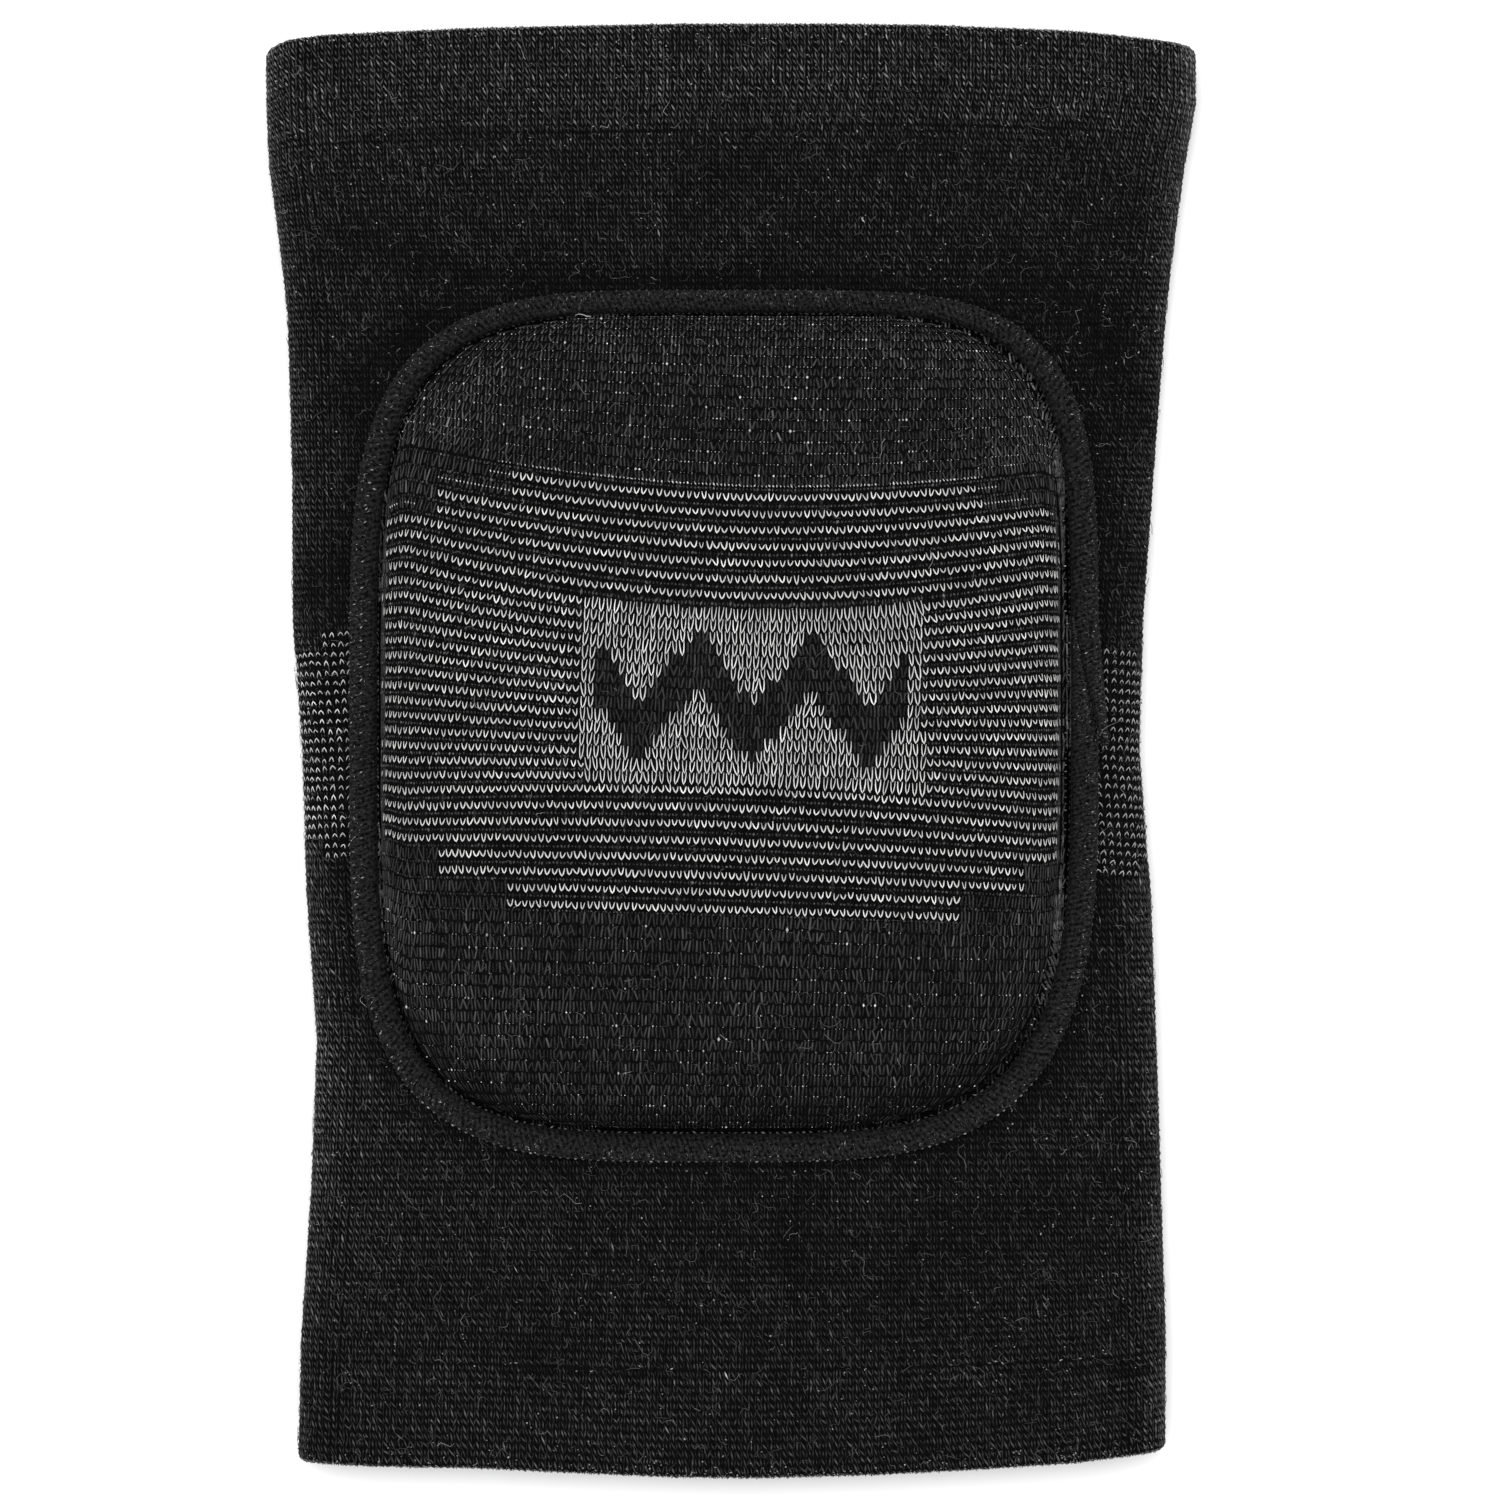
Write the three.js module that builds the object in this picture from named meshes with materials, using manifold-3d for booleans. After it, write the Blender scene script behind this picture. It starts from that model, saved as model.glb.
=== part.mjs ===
// A knitted knee pad, lying flat with its pad up: an elastic tube with turned hems, a foam pad on its
// front, the ribbed knit cover over the foam and the tape that binds the cover's edge.
// Millimetres. X runs across the knee, +Y towards the thigh, +Z up out of the pad. The origin is the
// middle of the flat sleeve, on the surface that it rests on.
import * as THREE from 'three';
import Module from 'manifold-3d';
import { mergeVertices } from 'three/addons/utils/BufferGeometryUtils.js';

const wasm = await Module();
wasm.setup();

// Pad and cover
const padWidth = 123.4;
const padLength = 146.1;
const padHeight = 18.2;
const padShift = -1.25;
const coverThickness = 1.6;
const ribPitch = 2.9;
const ribDepth = 0.55;

// Tape round the cover's edge
const tapeWidth = 4.9;
const tapeThickness = 2.3;
const scarfLength = 23;
const scarfFromKnee = 19;
const tapeEndBulge = 1.9;
const tapeTip = 0.5;

// Sleeve
const thighMargin = 47.9;
const calfMargin = 56.5;
const sideMargin = 16.3;
const wallThickness = 1.5;
const hemThickness = 3;
const hemDepth = 19;
const hemGroove = 0.5;
const bedHeight = 9.5;
const mouthHeight = 12;
const foldReach = 8;
const thighSag = 4.3;
const calfSag = 3.6;

// Gap that parted pieces keep
const clearance = 0.3;

// Corners of the pad's outline: the power of the superellipse in each quarter
const padCorners = [
  { side: 'left', end: 'thigh', power: 4.25 },
  { side: 'right', end: 'thigh', power: 5.0 },
  { side: 'left', end: 'calf', power: 4.15 },
  { side: 'right', end: 'calf', power: 3.75 },
];

// Edge of the pad seen in section: how late its top starts to fall, at the calf end and at the thigh
// end, and how round the fall is
const padEdge = { calf: 2.7, thigh: 4.3, roundness: 2.3 };

// Width of the tape over the thigh end of the pad, as a share of its width elsewhere
const tapeTopShare = 0.82;

// Sides of the sleeve from the thigh mouth (0) to the calf mouth (1), as shares of its greatest half
// width
const sleeveSides = [
  { at: 0.00, left: 1.000, right: 1.000 },
  { at: 0.04, left: 1.000, right: 1.000 },
  { at: 0.09, left: 0.993, right: 0.974 },
  { at: 0.20, left: 0.952, right: 0.932 },
  { at: 0.31, left: 0.941, right: 0.905 },
  { at: 0.41, left: 0.940, right: 0.882 },
  { at: 0.50, left: 0.921, right: 0.876 },
  { at: 0.60, left: 0.909, right: 0.899 },
  { at: 0.70, left: 0.888, right: 0.912 },
  { at: 0.80, left: 0.902, right: 0.922 },
  { at: 0.91, left: 0.923, right: 0.933 },
  { at: 1.00, left: 0.930, right: 0.933 },
];

// Soft dents and swellings of the front wall beyond the pad. Places are shares of the sleeve's half
// width and half length, reaches are shares of the margin at that end, and lifts are shares of the
// hem's thickness.
const frontDents = [
  { across: 0.13, along: -0.68, reachAcross: 0.14, reachAlong: 0.45, lift: -0.30 },
  { across: -0.10, along: -0.76, reachAcross: 0.30, reachAlong: 0.30, lift: 0.18 },
  { across: -0.55, along: 0.78, reachAcross: 0.35, reachAlong: 0.22, lift: 0.16 },
  { across: 0.45, along: 0.80, reachAcross: 0.40, reachAlong: 0.24, lift: 0.14 },
  { across: 0.02, along: 0.72, reachAcross: 0.20, reachAlong: 0.26, lift: -0.16 },
];

// Places that follow from the sizes above
const tapeTopWidth = tapeWidth * tapeTopShare;
const sleeveHalfWidth = padWidth / 2 + clearance + tapeWidth + sideMargin;
const sleeveLength = calfMargin + tapeWidth + tapeTopWidth + 2 * clearance + padLength + thighMargin;
const thighMouth = sleeveLength / 2;
const calfMouth = -thighMouth;
const padCentre = thighMouth - thighMargin - tapeTopWidth - clearance - padLength / 2;
const bedMargin = tapeWidth / 2;
const bedTop = thighMouth - thighMargin + bedMargin;
const bedBottom = calfMouth + calfMargin - bedMargin;
const padFoot = bedHeight + clearance;

const { clamp, degToRad, lerp, smoothstep } = THREE.MathUtils;

// The whole numbers from 0 up to a count, leaving the count out.
function countUp(count) {
  return Array.from({ length: count }, (_, number) => number);
}

// Value of a table's column at a place between its rows.
function readTable(table, at, column) {
  const place = clamp(at, table[0].at, table[table.length - 1].at);
  const next = Math.max(1, table.findIndex((row) => row.at >= place));
  const before = table[next - 1];
  const after = table[next];
  return lerp(before[column], after[column], (place - before.at) / (after.at - before.at));
}

// Closed body from vertices and triangles, turned so that its faces point outwards.
function closedBody(vertices, triangles) {
  const geometry = new THREE.BufferGeometry();
  geometry.setAttribute('position', new THREE.Float32BufferAttribute(vertices.flat(), 3));
  let volume = 0;
  for (const [a, b, c] of triangles) {
    const [p, q, r] = [vertices[a], vertices[b], vertices[c]].map((v) => new THREE.Vector3(...v));
    volume += p.dot(q.cross(r));
  }
  const outward = volume > 0 ? triangles : triangles.map(([a, b, c]) => [a, c, b]);
  geometry.setIndex(outward.flat());
  return mergeVertices(geometry, 1e-4);
}

// Triangles of the strip between two rows of vertices that start at the given numbers.
function stripBetween(first, second, count, closed) {
  const triangles = [];
  const steps = closed ? count : count - 1;
  for (let step = 0; step < steps; step += 1) {
    const next = (step + 1) % count;
    triangles.push([first + step, second + step, second + next]);
    triangles.push([first + step, second + next, first + next]);
  }
  return triangles;
}

// Front wall's height above the resting surface, on the outside: flat under the pad, rising to the
// mouths, with a groove where each hem is sewn.
function frontHeight(y) {
  const toThigh = smoothstep(y, bedTop, thighMouth);
  const toCalf = smoothstep(-y, -bedBottom, -calfMouth);
  const rise = (mouthHeight - bedHeight) * Math.max(toThigh, toCalf);
  const fromSeam = Math.min(Math.abs(y - thighMouth + hemDepth), Math.abs(y - calfMouth - hemDepth));
  return bedHeight + rise - hemGroove * Math.max(0, 1 - fromSeam / hemThickness);
}

// Wall at a place along the sleeve: doubled in the hems.
function wallAt(y) {
  return Math.abs(y) > thighMouth - hemDepth ? hemThickness : wallThickness;
}

// Lift of the front wall by the dents beyond the pad, fading out towards the pad and the side folds.
function dentLift(x, y) {
  const margin = y > 0 ? thighMargin : calfMargin;
  const towardsThigh = smoothstep(y, bedTop, bedTop + hemDepth);
  const towardsCalf = smoothstep(-y, -bedBottom, hemDepth - bedBottom);
  const lift = frontDents.reduce((sum, dent) => {
    const across = (x / sleeveHalfWidth - dent.across) * sleeveHalfWidth / (dent.reachAcross * margin);
    const along = (y / thighMouth - dent.along) * thighMouth / (dent.reachAlong * margin);
    return sum + dent.lift * hemThickness * Math.exp(-across * across - along * along);
  }, 0);
  return lift * Math.max(towardsThigh, towardsCalf);
}

// Bow of the mouths: their sides sit back from the middle.
function mouthBow(acrossShare, y) {
  const thigh = thighSag * smoothstep(y, bedTop, thighMouth) * Math.abs(acrossShare) ** 3;
  const calf = calfSag * smoothstep(-y, -bedBottom, -calfMouth) * acrossShare ** 2;
  return calf - thigh;
}

// Places along the sleeve where its sections stand, from one mouth to the other.
function sleeveStations() {
  const seamStep = hemGroove / 2;
  const between = (from, to, count) => countUp(count).map((k) => lerp(from, to, (k + 1) / (count + 1)));
  const thighSeam = thighMouth - hemDepth;
  const calfSeam = calfMouth + hemDepth;
  return [
    thighMouth - hemThickness / 2,
    lerp(thighMouth, thighSeam, 0.5),
    thighSeam + hemThickness,
    thighSeam + seamStep,
    thighSeam - seamStep,
    ...between(thighSeam, bedTop, 2),
    bedTop,
    ...between(bedTop, bedBottom, 7),
    bedBottom,
    ...between(bedBottom, calfSeam, 2),
    calfSeam + seamStep,
    calfSeam - seamStep,
    calfSeam - hemThickness,
    lerp(calfMouth, calfSeam, 0.5),
    calfMouth + hemThickness / 2,
  ];
}

// Ring of the sleeve at a place along it, the given depth inside its outer face.
function sleeveRing(y, depth) {
  const flatSteps = 14;
  const foldSteps = 8;
  const at = (thighMouth - y) / sleeveLength;
  const left = sleeveHalfWidth * readTable(sleeveSides, at, 'left');
  const right = sleeveHalfWidth * readTable(sleeveSides, at, 'right');
  const height = frontHeight(y);
  const middle = height / 2;
  const reach = foldReach - depth;
  const ring = [];
  const addPoint = (x, z) => {
    const share = x < 0 ? x / left : x / right;
    ring.push([x, y + mouthBow(share, y), z]);
  };
  for (let step = 0; step < flatSteps; step += 1) {
    const x = lerp(right - foldReach, foldReach - left, step / flatSteps);
    const fromFold = 1 - Math.abs(2 * step / flatSteps - 1) ** 4;
    addPoint(x, height - depth + dentLift(x, y) * fromFold);
  }
  for (let step = 0; step < foldSteps; step += 1) {
    const angle = degToRad(90 + 180 * step / foldSteps);
    addPoint(foldReach - left + reach * Math.cos(angle), middle + (middle - depth) * Math.sin(angle));
  }
  for (let step = 0; step < flatSteps; step += 1) {
    addPoint(lerp(foldReach - left, right - foldReach, step / flatSteps), depth);
  }
  for (let step = 0; step < foldSteps; step += 1) {
    const angle = degToRad(270 + 180 * step / foldSteps);
    addPoint(right - foldReach + reach * Math.cos(angle), middle + (middle - depth) * Math.sin(angle));
  }
  return ring;
}

// The knitted tube: outer face, rounded mouth, inner face and rounded mouth, closed on itself.
function makeSleeve() {
  const stations = sleeveStations();
  const mouthAngles = [45, 90, 135];
  const mouthRing = (mouth, inward, angle) => {
    const radius = hemThickness / 2;
    const y = mouth + inward * radius * (1 - Math.sin(degToRad(angle)));
    return sleeveRing(y, radius * (1 - Math.cos(degToRad(angle))));
  };
  const rings = [
    ...stations.map((y) => sleeveRing(y, 0)),
    ...mouthAngles.map((angle) => mouthRing(calfMouth, 1, angle)),
    ...stations.toReversed().map((y) => sleeveRing(y, wallAt(y))),
    ...mouthAngles.toReversed().map((angle) => mouthRing(thighMouth, -1, angle)),
  ];
  const count = rings[0].length;
  const triangles = rings.flatMap((_, k) => {
    const next = (k + 1) % rings.length;
    return stripBetween(k * count, next * count, count, true);
  });
  return closedBody(rings.flat(), triangles);
}

// Power of the pad's outline in the quarter that holds a place.
function cornerPower(x, y) {
  const side = x < 0 ? 'left' : 'right';
  const end = y < 0 ? 'calf' : 'thigh';
  return padCorners.find((corner) => corner.side === side && corner.end === end).power;
}

// Half width of a pad outline at a place along it.
function outlineHalfWidth(y, sign, halfWidth, halfLength) {
  const power = cornerPower(sign, y);
  return halfWidth * Math.max(0, 1 - Math.abs(y / halfLength) ** power) ** (1 / power);
}

// Sizes of the pad's dome at a depth inside the cover's outer face.
function domeAt(depth) {
  return {
    halfWidth: padWidth / 2 - depth,
    halfLength: padLength / 2 - depth,
    height: padHeight - depth,
  };
}

// Surface of a pad dome: its point at a place, and the direction that faces out there.
function domePoint(x, y, dome) {
  const power = cornerPower(x, y);
  const across = Math.abs(x / dome.halfWidth);
  const along = Math.abs(y / dome.halfLength);
  const share = clamp((across ** power + along ** power) ** (1 / power), 1e-4, 1 - 1e-4);
  const fall = lerp(padEdge.calf, padEdge.thigh, (y / dome.halfLength + 1) / 2);
  const height = dome.height * (1 - share ** fall) ** (1 / padEdge.roundness);
  const slope = height * fall * share ** (fall - power) / (padEdge.roundness * (1 - share ** fall));
  const outward = new THREE.Vector3(
    slope * Math.sign(x) * across ** (power - 1) / dome.halfWidth,
    slope * Math.sign(y) * along ** (power - 1) / dome.halfLength,
    1,
  ).normalize();
  return { point: new THREE.Vector3(x, y, padFoot + height), outward };
}

// The cover's middle line, from the calf end to the thigh end, with the length along it.
function measureMiddleLine() {
  const samples = 600;
  const cover = domeAt(0);
  const line = [];
  let length = 0;
  for (let k = 0; k <= samples; k += 1) {
    const share = -Math.cos(Math.PI * k / samples);
    const { point } = domePoint(0, share * cover.halfLength, cover);
    length += k > 0 ? point.distanceTo(line[k - 1].point) : 0;
    line.push({ at: length, share, point });
  }
  return line;
}

const middleLine = measureMiddleLine();
const middleLength = middleLine[middleLine.length - 1].at;

// Closed dome on a flat foot at a depth inside the cover, with a skirt below it. Its rows run across
// the knee, evenly spaced over its surface, and every other row may stand out as a rib of knitting.
function domeBody({ depth, rowCount, columnCount, relief = 0, skirt = 0 }) {
  const rimShare = 0.998;
  const dome = domeAt(depth);
  const vertices = [];
  for (let row = 0; row <= rowCount; row += 1) {
    const share = readTable(middleLine, middleLength * row / rowCount, 'share');
    const y = share * dome.halfLength;
    const level = clamp(share, -rimShare, rimShare) * dome.halfLength;
    for (let column = 0; column <= columnCount; column += 1) {
      const across = -Math.cos(Math.PI * column / columnCount);
      const x = across * outlineHalfWidth(level, Math.sign(across), dome.halfWidth, dome.halfLength);
      const inFoot = row % rowCount === 0 || column % columnCount === 0;
      const { point, outward } = domePoint(x, y, dome);
      if (inFoot) {
        point.z = padFoot;
      } else {
        point.addScaledVector(outward, row % 2 === 1 ? relief / 2 : -relief / 2);
      }
      vertices.push([point.x + padShift, point.y + padCentre, point.z]);
    }
  }
  const perRow = columnCount + 1;
  const triangles = [];
  for (let row = 0; row < rowCount; row += 1) {
    triangles.push(...stripBetween(row * perRow, (row + 1) * perRow, perRow, false));
  }
  const rim = [
    ...countUp(columnCount),
    ...countUp(rowCount).map((row) => row * perRow + columnCount),
    ...countUp(columnCount).map((column) => rowCount * perRow + columnCount - column),
    ...countUp(rowCount).map((row) => (rowCount - row) * perRow),
  ];
  const lower = vertices.length;
  rim.forEach((number) => {
    const [x, y, z] = vertices[number];
    vertices.push([x, y, z - skirt]);
  });
  vertices.push([padShift, padCentre, padFoot - skirt]);
  const middle = vertices.length - 1;
  rim.forEach((number, k) => {
    const next = (k + 1) % rim.length;
    const [a, b] = skirt > 0 ? [lower + k, lower + next] : [number, rim[next]];
    triangles.push([middle, a, b]);
    if (skirt > 0) {
      triangles.push([number, rim[next], b], [number, b, a]);
    }
  });
  return closedBody(vertices, triangles);
}

// Part of a body that is left when another is cut from it.
function cutAway(body, cutter) {
  const [solid, tool] = [body, cutter].map((geometry) => new wasm.Manifold(new wasm.Mesh({
    numProp: 3,
    vertProperties: new Float32Array(geometry.getAttribute('position').array),
    triVerts: new Uint32Array(geometry.index.array),
  })));
  const mesh = solid.subtract(tool).getMesh();
  const geometry = new THREE.BufferGeometry();
  geometry.setAttribute('position', new THREE.BufferAttribute(mesh.vertProperties, 3));
  geometry.setIndex(new THREE.BufferAttribute(mesh.triVerts, 1));
  return geometry;
}

// Rows and columns of the smooth faces of the pad
const smoothGrid = { rowCount: 18, columnCount: 14 };

// The block of foam, parted from the cover by the clearance.
function makeFoamPad() {
  return domeBody({ depth: coverThickness + clearance, ...smoothGrid });
}

// The ribbed knit over the foam, open where it meets the sleeve.
function makePadCover() {
  const ribs = Math.round(middleLength / ribPitch);
  const outside = domeBody({ depth: 0, rowCount: 2 * ribs, columnCount: 16, relief: ribDepth });
  const hollow = domeBody({ depth: coverThickness, skirt: coverThickness, ...smoothGrid });
  return cutAway(outside, hollow);
}

// Point of the pad's outline in a direction from its centre, and the direction that faces out there.
function outlinePoint(angle) {
  const along = new THREE.Vector2(Math.cos(angle), Math.sin(angle));
  const power = cornerPower(along.x, along.y);
  const [halfWidth, halfLength] = [padWidth / 2, padLength / 2];
  const across = Math.abs(along.x / halfWidth);
  const up = Math.abs(along.y / halfLength);
  const point = along.clone().multiplyScalar((across ** power + up ** power) ** (-1 / power));
  const steepness = (value, half) => Math.sign(value) * Math.abs(value / half) ** (power - 1) / half;
  const outward = new THREE.Vector2(steepness(point.x, halfWidth), steepness(point.y, halfLength));
  return { point, outward: outward.normalize() };
}

// The tape round the cover. It goes once round the pad from the knee's right side, and its last end
// passes outside its first on a slanting seam.
function makeEdgeBinding() {
  const stations = 96;
  const scarfStart = Math.atan2(scarfFromKnee, padWidth / 2);
  const scarfTurn = scarfStart - Math.atan2(scarfFromKnee - scarfLength, padWidth / 2);
  const fullTurn = 2 * Math.PI;
  const rings = [];
  for (let station = 0; station <= stations; station += 1) {
    const turned = (fullTurn + scarfTurn) * station / stations;
    const { point, outward } = outlinePoint(scarfStart - turned);
    const overThigh = Math.max(0, outward.y) ** 2;
    const width = lerp(tapeWidth, tapeTopWidth, overThigh);
    const first = clamp(turned / scarfTurn, 0, 1);
    const last = clamp((turned - fullTurn) / scarfTurn, 0, 1);
    const inner = clearance + last * (width + clearance);
    const outer = clearance + lerp(tapeTip, width, first) + last * tapeEndBulge;
    const section = [
      { across: 0, up: 0 },
      { across: 1, up: 0 },
      { across: 1, up: 0.55 },
      { across: 0.78, up: 0.92 },
      { across: 0.5, up: 1 },
      { across: 0.22, up: 0.92 },
      { across: 0, up: 0.55 },
    ];
    rings.push(section.map(({ across, up }) => {
      const offset = lerp(inner, outer, across);
      return [
        padShift + point.x + outward.x * offset,
        padCentre + point.y + outward.y * offset,
        padFoot + tapeThickness * up,
      ];
    }));
  }
  const count = rings[0].length;
  const triangles = [];
  for (let station = 0; station < stations; station += 1) {
    triangles.push(...stripBetween(station * count, (station + 1) * count, count, true));
  }
  const last = stations * count;
  for (let corner = 1; corner < count - 1; corner += 1) {
    triangles.push([0, corner, corner + 1]);
    triangles.push([last, last + corner + 1, last + corner]);
  }
  return closedBody(rings.flat(), triangles);
}

// Finishes
const finishes = {
  knit: new THREE.MeshStandardMaterial({ color: 0x1d1d1f, roughness: 0.95, metalness: 0 }),
  foam: new THREE.MeshStandardMaterial({ color: 0x38383a, roughness: 0.9, metalness: 0 }),
  ribbedKnit: new THREE.MeshStandardMaterial({ color: 0x6d6d70, roughness: 0.92, metalness: 0 }),
  tape: new THREE.MeshStandardMaterial({ color: 0x232325, roughness: 0.85, metalness: 0 }),
};

// The pieces of the knee pad
const pieces = [
  { name: 'sleeve', make: makeSleeve, finish: finishes.knit },
  { name: 'foam_pad', make: makeFoamPad, finish: finishes.foam },
  { name: 'pad_cover', make: makePadCover, finish: finishes.ribbedKnit },
  { name: 'edge_binding', make: makeEdgeBinding, finish: finishes.tape },
];

const kneePad = new THREE.Group();
for (const { name, make, finish } of pieces) {
  const mesh = new THREE.Mesh(make(), finish);
  mesh.name = name;
  kneePad.add(mesh);
}

export default kneePad;
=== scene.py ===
"""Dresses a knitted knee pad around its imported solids.

The forms repeat the solids' own surfaces and work in millimetres, with X across the knee, +Y
towards the thigh and +Z up out of the pad. A mesh is brought to metres when it is made.
"""

from __future__ import annotations

import logging
import math
from dataclasses import dataclass, field, replace
from enum import Enum
from typing import Any, Callable

import bmesh
import bpy
import numpy as np
from mathutils import Matrix, Vector

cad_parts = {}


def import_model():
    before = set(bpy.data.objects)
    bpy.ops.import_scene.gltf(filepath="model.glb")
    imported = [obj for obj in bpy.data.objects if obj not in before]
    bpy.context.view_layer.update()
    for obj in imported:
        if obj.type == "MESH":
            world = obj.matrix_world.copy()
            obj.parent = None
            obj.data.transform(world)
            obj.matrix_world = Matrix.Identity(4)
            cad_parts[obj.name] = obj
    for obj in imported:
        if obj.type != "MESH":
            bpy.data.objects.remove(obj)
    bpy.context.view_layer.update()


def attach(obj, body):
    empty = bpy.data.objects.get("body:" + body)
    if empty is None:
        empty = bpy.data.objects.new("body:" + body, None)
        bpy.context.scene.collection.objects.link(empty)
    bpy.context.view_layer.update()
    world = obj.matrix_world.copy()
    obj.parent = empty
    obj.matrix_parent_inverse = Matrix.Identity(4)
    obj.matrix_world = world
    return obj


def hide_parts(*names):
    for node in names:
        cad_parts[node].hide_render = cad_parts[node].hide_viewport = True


MM = 0.001
CHART = "knit"
TINT = "tint"
BODY = "root"

Array = np.ndarray
Triple = tuple[float, float, float]
Pair = tuple[float, float]
Place = Callable[[Array, Array], Array]
Dye = Callable[[int], Array]
Random = np.random.Generator
log = logging.getLogger("knee_pad")


class Side(Enum):
    """Side of the knee that a place lies on, as the sign of its X."""

    LEFT = -1
    RIGHT = 1


class Slot(Enum):
    """Material slots of the record."""

    SLEEVE = "sleeve_knit"
    COVER = "cover_knit"
    TAPE = "binding_tape"


def smoothstep(value: Array, low: float, high: float) -> Array:
    """Share from 0 to 1 of the way from low to high, eased at both ends."""
    share = np.clip((value - low) / (high - low), 0, 1)
    return share * share * (3 - 2 * share)


def unit(vectors: Array) -> Array:
    """Vectors brought to length 1."""
    return vectors / np.maximum(np.linalg.norm(vectors, axis=-1, keepdims=True), 1e-9)


# Shader writing and finishes


class Wire:
    """A shader socket on which arithmetic adds Math nodes."""

    def __init__(self, shader: Shader, socket: bpy.types.NodeSocket) -> None:
        """Wraps a socket of a shader."""
        self.shader = shader
        self.socket = socket

    def maths(self, operation: str, *others: Wire | float, clamp: bool = False) -> Wire:
        """Adds a Math node.

        Args:
            operation: The node's operation.
            others: The second and third values.
            clamp: Whether the result is kept from 0 to 1.

        Returns:
            The node's result.
        """
        inputs = dict(enumerate((self, *others)))
        settings = {"operation": operation, "use_clamp": clamp}
        return self.shader.node("ShaderNodeMath", settings, inputs)

    def __add__(self, other: Wire | float) -> Wire:
        """Sum."""
        return self.maths("ADD", other)

    __radd__ = __add__

    def __mul__(self, other: Wire | float) -> Wire:
        """Product."""
        return self.maths("MULTIPLY", other)

    __rmul__ = __mul__

    def __sub__(self, other: Wire | float) -> Wire:
        """Difference."""
        return self.maths("SUBTRACT", other)

    def __rsub__(self, other: float) -> Wire:
        """Difference from a number."""
        return (self * -1.0) + other

    def __truediv__(self, other: Wire | float) -> Wire:
        """Quotient."""
        return self.maths("DIVIDE", other)

    def __abs__(self) -> Wire:
        """Size without its sign."""
        return self.maths("ABSOLUTE")

    def __pow__(self, power: float) -> Wire:
        """Power."""
        return self.maths("POWER", power)

    def fraction(self) -> Wire:
        """Part after the whole number."""
        return self.maths("FRACT")

    def floor(self) -> Wire:
        """Whole number below."""
        return self.maths("FLOOR")

    def wave(self) -> Wire:
        """Sine."""
        return self.maths("SINE")

    def kept(self) -> Wire:
        """The value kept from 0 to 1."""
        return self.maths("ADD", 0.0, clamp=True)

    def above(self, limit: float) -> Wire:
        """1 where the value is above a limit, and 0 elsewhere."""
        return self.maths("GREATER_THAN", limit)


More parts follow.
